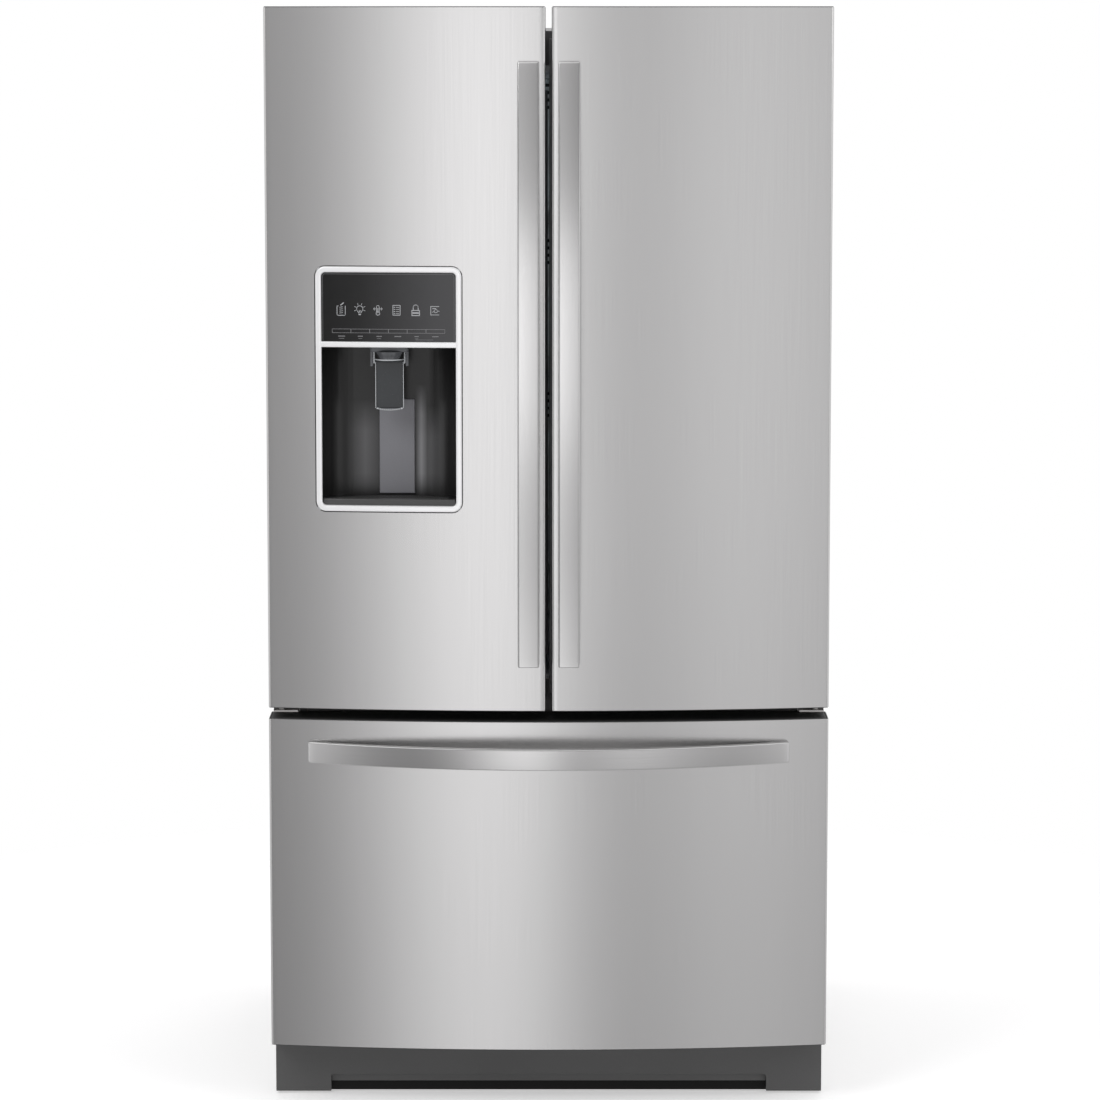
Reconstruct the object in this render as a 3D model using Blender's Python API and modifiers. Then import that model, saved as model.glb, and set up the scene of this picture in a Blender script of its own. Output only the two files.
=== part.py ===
"""French door refrigerator: two curved upper doors, an ice and water dispenser, a freezer drawer.

The origin is on the floor under the middle of the whole object, +Z is up and the front faces -Y.
"""

import math

import bmesh
import bpy
from mathutils import Matrix

# Driving sizes, in metres
CABINET_WIDTH = 0.899
DOOR_OVERHANG = 0.003  # doors stand this much past each side of the cabinet
CABINET_DEPTH = 0.737
CABINET_TOP = 1.743
CABINET_BOTTOM = 0.0545
DOOR_OVERTOP = 0.038  # doors stand this much above the cabinet
DOOR_EDGE = 0.062  # door thickness at its outer side
CROWN = 0.034  # how far the front bulges between the outer sides
DRAWER_BOTTOM = 0.099
DRAWER_HEIGHT = 0.5386
SEAM = 0.0194  # between the drawer and the doors
DOOR_GAP = 0.010  # between the two doors
GASKET_GAP = 0.014  # between a door and the cabinet
STAND_OFF = 0.060  # handle face in front of the door
SHEET = 0.001
FIT = 0.0003  # between pieces that rest on each other
CORNER = 0.004  # rounding of a door's upright edges
ARC_STEP = 0.011  # length of the straight steps in a curved front

# Doors
GASKET_SIDE = 0.022
GASKET_EDGE = 0.012
GASKET_FREE = 0.006
GASKET_WIDTH = 0.018
DYKE_DEPTH = 0.045
DYKE_WALL = 0.012
DYKE_CLEAR = 0.012
DYKE_FREE = 0.047  # dyke's distance from the door's free edge
BIN_DEPTH = 0.100
BIN_HEIGHT = 0.095
BIN_WALL = 0.0025
BAR_WIDTH = 0.034
BAR_THICK = 0.014
BAR_BEVEL = 0.003
BAR_FROM_EDGE = 0.0105
BAR_RISE = 0.072  # from the door's bottom
BAR_DROP = 0.085  # from the door's top
BAR_END = 0.0168  # a bar's ends stand this much out of the door
BAR_SEAT = 0.0007  # between a bar's ends and the door
PAD_LENGTH = 0.032
DRAWER_BAR_INSET = 0.0645
DRAWER_BAR_DROP = 0.0336

# Hinges
PIN_SIDE = 0.020  # pin axis from the door's outer side
PIN_BACK = 0.030  # pin axis behind the door's front edge
PIN_RADIUS = 0.005
PIN_CLEAR = 0.0006
PIN_LENGTH = 0.028
PLATE = 0.003
ARM_HALF = 0.009
NOTCH_WIDTH = 0.055
NOTCH_FRONT = 0.0055
HINGE_BASE_WIDTH = 0.060
HINGE_BASE_DEPTH = 0.095
COVER_HEIGHT = 0.026

# Cabinet
WALL = 0.055
BACK_WALL = 0.060
LINER = 0.002
MACHINE_DEPTH = 0.250
MACHINE_TOP = 0.330
MACHINE_SIDE = 0.030
PAN = 0.004
GRILLE_SETBACK = 0.060  # behind the doors' front edge
GRILLE_BOTTOM = 0.004
GRILLE_TOP = 0.092
GRILLE_SHEET = 0.003
NOTCH_TO_END = 0.091
NOTCH_TOP = 0.033
LIP_TOP = 0.019
LIP_SETBACK = 0.009
ROLLER_RADIUS = 0.023
ROLLER_WIDTH = 0.020
AXLE_RADIUS = 0.003
LEG_RADIUS = 0.005
FOOT_RADIUS = 0.018
FOOT_HEIGHT = 0.010

# Dispenser
DISPENSER_OUT = 0.0265  # from the middle of the door towards the hinge side
DISPENSER_RISE = 0.321  # bezel's lower edge above the door's bottom
BEZEL_WIDTH = 0.234
BEZEL_HEIGHT = 0.393
BEZEL_BAND = 0.0095
BEZEL_PROUD = 0.0015
BEZEL_DEPTH = 0.009
BEZEL_ROUND = 0.016
OPEN_ROUND = 0.009
PANEL_HEIGHT = 0.1105
PANEL_THICK = 0.006
STRIP_HEIGHT = 0.0092
GROOVE = 0.0008
RECESS_DEPTH = 0.090
RECESS_WALL = 0.002
RECESS_ROUND = 0.050
PADDLE_WIDTH = 0.048
PADDLE_LENGTH = 0.090
PADDLE_THICK = 0.005
PADDLE_PIN = 0.0025
PADDLE_SETBACK = 0.040
NOZZLE_WIDTH = 0.062
NOZZLE_HEIGHT = 0.016
NOZZLE_DEPTH = 0.034
TRAY_HEIGHT = 0.008

# Inside
SHELF_CLEAR = 0.118  # behind the cabinet's front, past the door bins
SHELF_THICK = 0.006
SHELF_LIP = 0.016
CRISPER_HEIGHT = 0.170
SLIDE_HEIGHT = 0.036
SLIDE_CLEAR = 0.137  # behind the slides, to the freezer's back
SLIDE_RISE = 0.268  # above the freezer's floor
RAIL_CLEAR = 0.044  # behind the rails, to the slides' back ends
RAIL_THICK = 0.021
BASKET_CLEAR = 0.043  # behind the basket, to the rise in the floor
BASKET_HEIGHT = 0.275
AIR_SLOT = 0.110

# Places that follow from the sizes
DOOR_SPAN = CABINET_WIDTH + 2 * DOOR_OVERHANG
TOTAL_DEPTH = CABINET_DEPTH + GASKET_GAP + DOOR_EDGE + CROWN + STAND_OFF
BACK = TOTAL_DEPTH / 2
CABINET_FRONT = BACK - CABINET_DEPTH
DOOR_BACK = CABINET_FRONT - GASKET_GAP
DOOR_FRONT = DOOR_BACK - DOOR_EDGE
HALF_SPAN = DOOR_SPAN / 2
HALF_CABINET = CABINET_WIDTH / 2
ARC_RADIUS = (HALF_SPAN**2 + CROWN**2) / (2 * CROWN)
ARC_CENTRE = DOOR_FRONT - CROWN + ARC_RADIUS
DRAWER_TOP = DRAWER_BOTTOM + DRAWER_HEIGHT
DOOR_BOTTOM = DRAWER_TOP + SEAM
DOOR_TOP = CABINET_TOP + DOOR_OVERTOP
DOOR_INNER = DOOR_GAP / 2
PIN_X = HALF_SPAN - PIN_SIDE
PIN_Y = DOOR_FRONT + PIN_BACK
CAVITY = HALF_CABINET - WALL
CAVITY_BACK = BACK - BACK_WALL
FRIDGE_FLOOR = DOOR_BOTTOM + GASKET_EDGE + GASKET_WIDTH + 0.003
FRIDGE_CEILING = CABINET_TOP - WALL
FREEZER_FLOOR = DRAWER_BOTTOM + GASKET_EDGE + GASKET_WIDTH + 0.003
FREEZER_CEILING = DRAWER_TOP - GASKET_EDGE - GASKET_WIDTH - 0.003
STEP_Y = BACK - MACHINE_DEPTH - WALL
STEP_Z = MACHINE_TOP + WALL
INNER = SHEET + FIT
BEZEL_X = -(HALF_SPAN + DOOR_INNER) / 2 - DISPENSER_OUT
BEZEL_LOW = DOOR_BOTTOM + DISPENSER_RISE
BEZEL_HIGH = BEZEL_LOW + BEZEL_HEIGHT
OPEN_HALF = BEZEL_WIDTH / 2 - BEZEL_BAND
OPEN_LOW = BEZEL_LOW + BEZEL_BAND
PANEL_HIGH = BEZEL_HIGH - BEZEL_BAND
PANEL_LOW = PANEL_HIGH - PANEL_HEIGHT
OPEN_HIGH = PANEL_LOW - STRIP_HEIGHT
BEZEL_Y = ARC_CENTRE - math.sqrt(ARC_RADIUS**2 - BEZEL_X**2)
DYKE_LOW = FRIDGE_FLOOR + DYKE_CLEAR + LINER + DYKE_WALL
DYKE_HIGH = FRIDGE_CEILING - DYKE_CLEAR - LINER - DYKE_WALL
LOWER_POCKET_TOP = BEZEL_LOW - 0.020
UPPER_POCKET_BOTTOM = BEZEL_HIGH + 0.030
PADDLE_Y = BEZEL_Y + PADDLE_SETBACK
PADDLE_Z = OPEN_HIGH - NOZZLE_HEIGHT - 0.010
MULLION_X = -DOOR_INNER - 0.0235
MULLION_Y = CABINET_FRONT + 0.014
MULLION_LOW = FRIDGE_FLOOR + 0.040
MULLION_HIGH = FRIDGE_CEILING - 0.040
DRAWER_INNER = DOOR_BACK + 0.010
SLIDE_OUTER = CAVITY - LINER - 2 * FIT
SLIDE_LOW = FREEZER_FLOOR + SLIDE_RISE
SLIDE_BACK = CAVITY_BACK - SLIDE_CLEAR
BASKET_BACK = STEP_Y - LINER - BASKET_CLEAR
RAIL_OUTER = SLIDE_OUTER - 0.0045
RAIL_INNER = RAIL_OUTER - RAIL_THICK
LIP_X = RAIL_OUTER - 0.011
RAIL_LOW = SLIDE_LOW + 0.0035
RAIL_HIGH = SLIDE_LOW + SLIDE_HEIGHT - 0.0035
ROLLER_X = HALF_CABINET - 0.055
ROLLER_Y = BACK - 0.060
LEG_X = HALF_CABINET - 0.060
LEG_Y = CABINET_FRONT + 0.060
COMPRESSOR_X = -0.240
COMPRESSOR_Y = BACK - MACHINE_DEPTH / 2
MACHINE_FLOOR = CABINET_BOTTOM + FIT
FAN_X = -0.020
FAN_Z = MACHINE_FLOOR + 0.110
FAN_RADIUS = 0.066
CONDENSER_X = 0.060
SHELF_FRONT = CABINET_FRONT + SHELF_CLEAR
SHELF_BACK = CAVITY_BACK - LINER - 3 * FIT
SHELF_HALF = CAVITY - LINER - 2 * FIT
CRISPER_FLOOR = FRIDGE_FLOOR + LINER + 2 * FIT
COVER_Z = CRISPER_FLOOR + CRISPER_HEIGHT + 0.004

for old in list(bpy.data.objects):
    bpy.data.objects.remove(old, do_unlink=True)

model = bpy.data.collections.new("french_door_refrigerator")
bpy.context.scene.collection.children.link(model)
cutters = bpy.data.collections.new("cutters")
bpy.context.scene.collection.children.link(cutters)


def front_at(x, proud=0.0):
    """The y of the curved front at x, a distance proud of it (or inside it when negative)."""
    return ARC_CENTRE - math.sqrt((ARC_RADIUS + proud) ** 2 - x * x)


def mesh_object(name, bm, home=model):
    mesh = bpy.data.meshes.new(name)
    bm.to_mesh(mesh)
    bm.free()
    made = bpy.data.objects.new(name, mesh)
    home.objects.link(made)
    return made


def box(name, low, high, home=model):
    bm = bmesh.new()
    bmesh.ops.create_cube(bm, size=1.0)
    size = [h - l for l, h in zip(low, high)]
    middle = [(h + l) / 2 for l, h in zip(low, high)]
    bmesh.ops.scale(bm, vec=size, verts=bm.verts)
    made = mesh_object(name, bm, home)
    made.location = middle
    return made


def rod(name, centre, radius, length, axis="Z", sides=24, home=model, top=None):
    bm = bmesh.new()
    bmesh.ops.create_cone(
        bm,
        cap_ends=True,
        segments=sides,
        radius1=radius,
        radius2=radius if top is None else top,
        depth=length,
    )
    made = mesh_object(name, bm, home)
    made.data.shade_smooth()
    made.data.set_sharp_from_angle(angle=math.radians(40))
    if axis == "X":
        made.rotation_euler = (0, math.pi / 2, 0)
    if axis == "Y":
        made.rotation_euler = (math.pi / 2, 0, 0)
    made.location = centre
    return made


def solid_from_curve(curve, home):
    """A mesh object in the place of a curve object, with its caps welded."""
    bpy.context.view_layer.update()
    graph = bpy.context.evaluated_depsgraph_get()
    mesh = bpy.data.meshes.new_from_object(curve.evaluated_get(graph))
    bm = bmesh.new()
    bm.from_mesh(mesh)
    bmesh.ops.remove_doubles(bm, verts=bm.verts, dist=0.00001)
    bm.to_mesh(mesh)
    bm.free()
    name = curve.name
    place = curve.matrix_world.copy()
    bpy.data.objects.remove(curve, do_unlink=True)
    mesh.name = name
    made = bpy.data.objects.new(name, mesh)
    made.matrix_world = place
    home.objects.link(made)
    made.data.shade_smooth()
    made.data.set_sharp_from_angle(angle=math.radians(30))
    return made


def prism(name, outline, low, high, plane="XY", home=model):
    """A flat outline drawn in a plane and given its thickness from low to high across it."""
    curve = bpy.data.curves.new(name, "CURVE")
    curve.dimensions = "2D"
    curve.fill_mode = "BOTH"
    curve.extrude = (high - low) / 2
    spline = curve.splines.new("POLY")
    spline.points.add(len(outline) - 1)
    for point, (u, v) in zip(spline.points, outline):
        point.co = (u, v, 0, 1)
    spline.use_cyclic_u = True
    made = bpy.data.objects.new(name, curve)
    home.objects.link(made)
    middle = (low + high) / 2
    if plane == "XY":
        made.location = (0, 0, middle)
    if plane == "XZ":
        made.rotation_euler = (math.pi / 2, 0, 0)
        made.location = (0, middle, 0)
    if plane == "YZ":
        turn = Matrix(((0, 0, 1), (1, 0, 0), (0, 1, 0))).to_euler()
        made.rotation_euler = turn
        made.location = (middle, 0, 0)
    return solid_from_curve(made, home)


def combine(target, other, operation):
    other.hide_render = True
    other.display_type = "WIRE"
    for home in list(other.users_collection):
        home.objects.unlink(other)
    cutters.objects.link(other)
    step = target.modifiers.new(other.name, "BOOLEAN")
    step.operation = operation
    step.solver = "EXACT"
    step.object = other
    return target


def cut(target, other):
    return combine(target, other, "DIFFERENCE")


def fuse(target, other):
    return combine(target, other, "UNION")


def rounded(target, width, segments=2):
    step = target.modifiers.new("rounded", "BEVEL")
    step.width = width
    step.segments = segments
    step.limit_method = "ANGLE"
    step.angle_limit = math.radians(50)
    return target


def finish(made, colour, roughness, metallic=0.0):
    material = bpy.data.materials.new(made.name)
    material.use_nodes = True
    shader = material.node_tree.nodes["Principled BSDF"]
    shader.inputs["Base Color"].default_value = (*colour, 1)
    shader.inputs["Roughness"].default_value = roughness
    shader.inputs["Metallic"].default_value = metallic
    made.data.materials.clear()
    made.data.materials.append(material)
    return made


def pivot(name, place, parent=None):
    made = bpy.data.objects.new(name, None)
    made.empty_display_size = 0.05
    model.objects.link(made)
    made.location = place
    if parent is not None:
        made.parent = parent
        made.matrix_parent_inverse = Matrix.Translation(parent["place"]).inverted()
    made["place"] = list(place)
    return made


def hang(made, on):
    """Carries a piece on a pivot without moving it."""
    made.parent = on
    made.matrix_parent_inverse = Matrix.Translation(on["place"]).inverted()
    return made


def steel(made):
    return finish(made, (0.55, 0.55, 0.56), 0.32, 1.0)


def painted(made):
    return finish(made, (0.22, 0.22, 0.23), 0.5, 0.3)


def dark_plastic(made):
    return finish(made, (0.06, 0.06, 0.065), 0.5)


def white_plastic(made):
    return finish(made, (0.82, 0.84, 0.85), 0.4)


def clear_plastic(made):
    return finish(made, (0.75, 0.82, 0.86), 0.15)


def zinc(made):
    return finish(made, (0.5, 0.5, 0.48), 0.4, 1.0)


def black_rubber(made):
    return finish(made, (0.03, 0.03, 0.03), 0.8)


def arc_points(low_x, high_x, proud, steps):
    span = high_x - low_x
    xs = [low_x + span * i / steps for i in range(steps + 1)]
    return [(x, front_at(x, proud)) for x in xs]


def arc_slab(name, low_x, high_x, proud, inside, low, high, steps=10, home=model):
    """A slab between two curves that follow the front."""
    outline = arc_points(low_x, high_x, proud, steps)
    outline += list(reversed(arc_points(low_x, high_x, inside, steps)))
    return prism(name, outline, low, high, home=home)


def door_outline(low_x, high_x, inset, back, steps=12):
    """A door's plan: straight sides, rounded front corners and the curved front, drawn inset."""
    left, right = low_x + inset, high_x - inset
    radius = max(CORNER - inset, 0.0015)
    points = [(left, back)]
    corner_steps = 3
    centre = (left + radius, front_at(left + radius, -inset) + radius)
    for i in range(corner_steps):
        angle = math.pi / 2 * i / corner_steps
        points.append((centre[0] - radius * math.cos(angle), centre[1] - radius * math.sin(angle)))
    points += arc_points(left + radius, right - radius, -inset, steps)
    centre = (right - radius, front_at(right - radius, -inset) + radius)
    for i in range(corner_steps - 1, -1, -1):
        angle = math.pi / 2 * i / corner_steps
        points.append((centre[0] + radius * math.cos(angle), centre[1] - radius * math.sin(angle)))
    points.append((right, back))
    return points


def arc_steps(low_x, high_x):
    """How many straight steps stand for the front's curve between two sides."""
    return round((high_x - low_x) / ARC_STEP)


def skin(name, low_x, high_x, low, high):
    """A steel sheet folded round the front and the two sides."""
    steps = arc_steps(low_x, high_x)
    outer = door_outline(low_x, high_x, 0.0, DOOR_BACK - SHEET, steps)
    inner = door_outline(low_x, high_x, SHEET, DOOR_BACK - SHEET, steps)
    return steel(prism(name, outer + list(reversed(inner)), low, high))


def core(name, low_x, high_x, low, high):
    """The foam-filled inside of a door, which fills its skin."""
    steps = arc_steps(low_x, high_x)
    return prism(name, door_outline(low_x, high_x, INNER, DOOR_BACK, steps), low, high)


def gasket(name, low, high):
    """A ring of rubber section between a door and the cabinet's front."""
    front, back = DOOR_BACK + FIT, CABINET_FRONT - FIT
    made = box(name, (low[0], front, low[1]), (high[0], back, high[1]))
    hole_low = (low[0] + GASKET_WIDTH, front - 0.01, low[1] + GASKET_WIDTH)
    hole_high = (high[0] - GASKET_WIDTH, back + 0.01, high[1] - GASKET_WIDTH)
    cut(made, box(name + "_hole", hole_low, hole_high, cutters))
    return finish(made, (0.55, 0.56, 0.57), 0.7)


def tub(name, low, high, wall=BIN_WALL):
    """An open-topped bin."""
    made = box(name, low, high)
    inner_low = [v + wall for v in low]
    inner_high = (high[0] - wall, high[1] - wall, high[2] + 0.02)
    return cut(made, box(name + "_inside", inner_low, inner_high, cutters))


def mirrored(side, low_x, high_x):
    """An interval given for the right-hand side, on the side wanted."""
    return (low_x, high_x) if side > 0 else (-high_x, -low_x)


def bowed_bar(half, ends, middle, thick, steps=24):
    """A bar's side view as (along, out): an arc through two ends and a middle that is further out."""
    rise = ends - middle
    radius = (half**2 + rise**2) / (2 * rise)
    centre = middle + radius
    along = [half * (2 * i / steps - 1) for i in range(steps + 1)]
    outer = [(u, centre - math.sqrt(radius**2 - u**2)) for u in along]
    inner = [(u, centre - math.sqrt((radius - thick) ** 2 - u**2)) for u in along]
    return outer + list(reversed(inner))


def upright_handle(name, side):
    """A bowed bar whose two ends land on the door."""
    low_x, high_x = mirrored(side, DOOR_INNER + BAR_FROM_EDGE, DOOR_INNER + BAR_FROM_EDGE + BAR_WIDTH)
    face = front_at((low_x + high_x) / 2)
    low, high = DOOR_BOTTOM + BAR_RISE, DOOR_TOP - BAR_DROP
    half, middle = (high - low) / 2, (high + low) / 2
    view = bowed_bar(half, face - BAR_END, DOOR_FRONT - CROWN - STAND_OFF, BAR_THICK)
    bar = prism(name, [(y, middle + u) for u, y in view], low_x, high_x, "YZ")
    rounded(bar, BAR_BEVEL)
    for end, start in (("low", low), ("high", high - PAD_LENGTH)):
        corner = (low_x + BAR_BEVEL, face - BAR_END + BAR_BEVEL, start + BAR_BEVEL)
        far = (high_x - BAR_BEVEL, face - BAR_SEAT, start + PAD_LENGTH - BAR_BEVEL)
        fuse(bar, box(f"{name}_pad_{end}", corner, far, cutters))
    return steel(bar)


def drawer_handle():
    """The same bar laid level across the drawer, with its ends on the curved front."""
    half = HALF_SPAN - DRAWER_BAR_INSET
    high = DRAWER_TOP - DRAWER_BAR_DROP
    low = high - BAR_WIDTH
    face = front_at(half)
    view = bowed_bar(half, face - BAR_END, DOOR_FRONT - CROWN - STAND_OFF, BAR_THICK, 32)
    bar = prism("freezer_handle", view, low, high)
    rounded(bar, BAR_BEVEL)
    for end, start in (("left", -half), ("right", half - PAD_LENGTH)):
        corner = (start + BAR_BEVEL, face - BAR_END + BAR_BEVEL, low + BAR_BEVEL)
        seat = front_at(half - PAD_LENGTH) - BAR_SEAT
        far = (start + PAD_LENGTH - BAR_BEVEL, seat, high - BAR_BEVEL)
        fuse(bar, box(f"freezer_handle_pad_{end}", corner, far, cutters))
    return steel(bar)


def door_span(side):
    return mirrored(side, DOOR_INNER, HALF_SPAN)


def hinge_notch(side, name):
    """The space that a top hinge's arm needs in a door's upper outer corner."""
    low_x, high_x = mirrored(side, HALF_SPAN - NOTCH_WIDTH, HALF_SPAN + 0.01)
    low = (low_x, DOOR_FRONT + NOTCH_FRONT, CABINET_TOP - 0.002)
    return box(name, low, (high_x, DOOR_BACK + 0.02, DOOR_TOP + 0.02), cutters)


def pin_hole(side, name, low, high):
    centre = (side * PIN_X, PIN_Y, (low + high) / 2)
    return rod(name, centre, PIN_RADIUS + PIN_CLEAR, high - low, home=cutters)


def dyke_span(side):
    outer = CAVITY - LINER - FIT - DYKE_CLEAR
    return mirrored(side, DOOR_INNER + DYKE_FREE, outer)


def dyke(side, name):
    """The raised rim inside a door, which reaches into the fridge compartment."""
    low_x, high_x = dyke_span(side)
    low = FRIDGE_FLOOR + DYKE_CLEAR + LINER
    high = FRIDGE_CEILING - DYKE_CLEAR - LINER
    return box(name, (low_x, DOOR_BACK - 0.01, low), (high_x, DOOR_BACK + DYKE_DEPTH, high), cutters)


def pocket(side, name, low, high):
    low_x, high_x = dyke_span(side)
    corner = (low_x + DYKE_WALL, DOOR_BACK, low)
    return box(name, corner, (high_x - DYKE_WALL, DOOR_BACK + DYKE_DEPTH + 0.02, high), cutters)


def door_liner(side, name):
    low_x, high_x = door_span(side)
    made = core(name, low_x, high_x, DOOR_BOTTOM, DOOR_TOP)
    fuse(made, dyke(side, name + "_dyke"))
    cut(made, hinge_notch(side, name + "_notch"))
    top = CABINET_TOP - 0.002
    cut(made, pin_hole(side, name + "_upper_hole", top - PIN_LENGTH, top + 0.01))
    cut(made, pin_hole(side, name + "_lower_hole", DOOR_BOTTOM - 0.01, DOOR_BOTTOM + PIN_LENGTH))
    return white_plastic(made)


def upper_gasket(side, name):
    low_x, high_x = mirrored(side, DOOR_INNER + GASKET_FREE, HALF_SPAN - GASKET_SIDE)
    low = DOOR_BOTTOM + GASKET_EDGE
    return gasket(name, (low_x, low), (high_x, CABINET_TOP - GASKET_EDGE))


def door_bin(side, name, low):
    low_x, high_x = dyke_span(side)
    inset = DYKE_WALL + 0.0005
    corner = (low_x + inset, DOOR_BACK + 0.0005, low)
    far = (high_x - inset, DOOR_BACK + BIN_DEPTH, low + BIN_HEIGHT)
    return clear_plastic(tub(name, corner, far))


def recess_outline(half, depth, inside):
    """The plan of the dispenser's recess: a curved front, straight sides and a rounded back."""
    radius = RECESS_ROUND
    points = list(reversed(arc_points(BEZEL_X - half, BEZEL_X + half, -inside, 6)))
    steps = 6
    back = BEZEL_Y + depth
    for i in range(steps + 1):
        angle = math.pi / 2 * i / steps
        x = BEZEL_X - half + radius - radius * math.cos(angle)
        points.append((x, back - radius + radius * math.sin(angle)))
    for i in range(steps + 1):
        angle = math.pi / 2 * i / steps
        x = BEZEL_X + half - radius + radius * math.sin(angle)
        points.append((x, back - radius + radius * math.cos(angle)))
    return points


def rounded_block(name, half, low, high, radius):
    """A block through the door's front, whose outline seen from the front has round corners."""
    points = []
    steps = 5
    centres = (
        (BEZEL_X + half - radius, high - radius),
        (BEZEL_X - half + radius, high - radius),
        (BEZEL_X - half + radius, low + radius),
        (BEZEL_X + half - radius, low + radius),
    )
    for quarter, (x, z) in enumerate(centres):
        for i in range(steps + 1):
            angle = math.pi / 2 * (quarter + i / steps)
            points.append((x + radius * math.cos(angle), z + radius * math.sin(angle)))
    middle = BEZEL_Y
    return prism(name, points, middle - 0.05, middle + 0.06, "XZ", cutters)


def bezel_block(name, grow, home):
    half = BEZEL_WIDTH / 2 + grow
    inside = -BEZEL_DEPTH - grow
    low, high = BEZEL_LOW - grow, BEZEL_HIGH + grow
    low_x, high_x = BEZEL_X - half - 0.01, BEZEL_X + half + 0.01
    made = arc_slab(name, low_x, high_x, BEZEL_PROUD + grow, inside, low - 0.01, high + 0.01)
    combine(made, rounded_block(name + "_outline", half, low, high, BEZEL_ROUND + grow), "INTERSECT")
    return made if home == model else solid_cutter(made)


def solid_cutter(made):
    """Takes a piece out of the model, to be used as a cutter."""
    made.hide_render = True
    made.display_type = "WIRE"
    model.objects.unlink(made)
    cutters.objects.link(made)
    return made


def dispenser_bezel():
    """A frame round the panel and the recess, with a strip between the two."""
    made = bezel_block("dispenser_bezel", 0.0, model)
    cut(made, rounded_block("bezel_window", OPEN_HALF, OPEN_LOW, PANEL_HIGH, OPEN_ROUND))
    low_x, high_x = BEZEL_X - OPEN_HALF - 0.002, BEZEL_X + OPEN_HALF + 0.002
    strip = arc_slab(
        "bezel_strip", low_x, high_x, BEZEL_PROUD - 0.0005, -BEZEL_DEPTH, OPEN_HIGH, PANEL_LOW, home=cutters
    )
    fuse(made, strip)
    return finish(made, (0.45, 0.45, 0.46), 0.3, 1.0)


def dispenser_panel():
    half = OPEN_HALF - FIT
    proud = BEZEL_PROUD - 0.001
    inside = proud - PANEL_THICK
    low, high = PANEL_LOW + FIT, PANEL_HIGH - FIT
    made = arc_slab("dispenser_panel", BEZEL_X - half, BEZEL_X + half, proud, inside, low, high + 0.01)
    outline = rounded_block("panel_outline", half, OPEN_LOW, high, OPEN_ROUND - FIT)
    combine(made, outline, "INTERSECT")
    return finish(made, (0.02, 0.02, 0.022), 0.08)


def dispenser_housing():
    """The recess as an open-fronted shell, standing behind the bezel."""
    outer_half = OPEN_HALF + 0.004
    inner_half = outer_half - RECESS_WALL
    outer = recess_outline(outer_half, RECESS_DEPTH, BEZEL_DEPTH + FIT)
    inner = recess_outline(inner_half, RECESS_DEPTH - RECESS_WALL, BEZEL_DEPTH - 0.01)
    made = prism("dispenser_housing", outer, OPEN_LOW - 0.004, OPEN_HIGH + 0.004)
    low, high = OPEN_LOW - 0.004 + RECESS_WALL, OPEN_HIGH + 0.004 - RECESS_WALL
    cut(made, prism("recess_inside", inner, low, high, home=cutters))
    return dark_plastic(made)


def housing_pocket():
    outline = recess_outline(OPEN_HALF + 0.0045, RECESS_DEPTH + 0.0005, -0.02)
    return prism("housing_pocket", outline, OPEN_LOW - 0.0045, OPEN_HIGH + 0.0045, home=cutters)


def dispenser_nozzle():
    """The outlet block under the recess's ceiling, with two ears for the paddle's pivot."""
    ceiling = OPEN_HIGH + 0.004 - RECESS_WALL - FIT
    front = BEZEL_Y + 0.022
    half = NOZZLE_WIDTH / 2
    low = (BEZEL_X - half, front, ceiling - NOZZLE_HEIGHT)
    made = box("dispenser_nozzle", low, (BEZEL_X + half, front + NOZZLE_DEPTH, ceiling))
    ear = 0.005
    for side, end in ((-1, "left"), (1, "right")):
        edge = BEZEL_X + side * half
        ear_low = (min(edge, edge - side * ear), PADDLE_Y - 0.007, PADDLE_Z - 0.007)
        ear_high = (max(edge, edge - side * ear), PADDLE_Y + 0.007, ceiling - 0.004)
        fuse(made, box(f"nozzle_ear_{end}", ear_low, ear_high, cutters))
    hole = rod("paddle_hole", (BEZEL_X, PADDLE_Y, PADDLE_Z), PADDLE_PIN + 0.0006, 0.2, "X", 16, cutters)
    cut(made, hole)
    return dark_plastic(made)


def dispenser_paddle(on):
    """The lever that a glass presses, hung from a round pin."""
    half = PADDLE_WIDTH / 2
    low = (BEZEL_X - half, PADDLE_Y - PADDLE_THICK / 2, PADDLE_Z - PADDLE_LENGTH)
    made = box("dispenser_paddle", low, (BEZEL_X + half, PADDLE_Y + PADDLE_THICK / 2, PADDLE_Z))
    rounded(made, 0.001, 1)
    pin = rod("paddle_pin", (BEZEL_X, PADDLE_Y, PADDLE_Z), PADDLE_PIN, NOZZLE_WIDTH, "X", 16, cutters)
    fuse(made, pin)
    finish(made, (0.15, 0.16, 0.17), 0.2)
    return hang(made, on)


def drip_tray():
    """A shallow tray that fills the recess's floor, with slots across its top."""
    floor = OPEN_LOW - 0.004 + RECESS_WALL + FIT
    outline = recess_outline(OPEN_HALF + 0.0015, RECESS_DEPTH - RECESS_WALL - 0.0008, BEZEL_DEPTH + 2 * FIT)
    made = prism("drip_tray", outline, floor, floor + TRAY_HEIGHT)
    low_y = BEZEL_Y + 0.026
    high_y = BEZEL_Y + RECESS_DEPTH - 0.018
    slots = 5
    pitch = (high_y - low_y) / (slots - 1)
    for i in range(slots):
        y = low_y + pitch * i
        half = OPEN_HALF - 0.020 - 0.006 * i
        low = (BEZEL_X - half, y - 0.0015, floor + 0.003)
        cut(made, box(f"tray_slot_{i}", low, (BEZEL_X + half, y + 0.0015, floor + 0.02), cutters))
    return finish(made, (0.1, 0.1, 0.1), 0.35)


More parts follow.
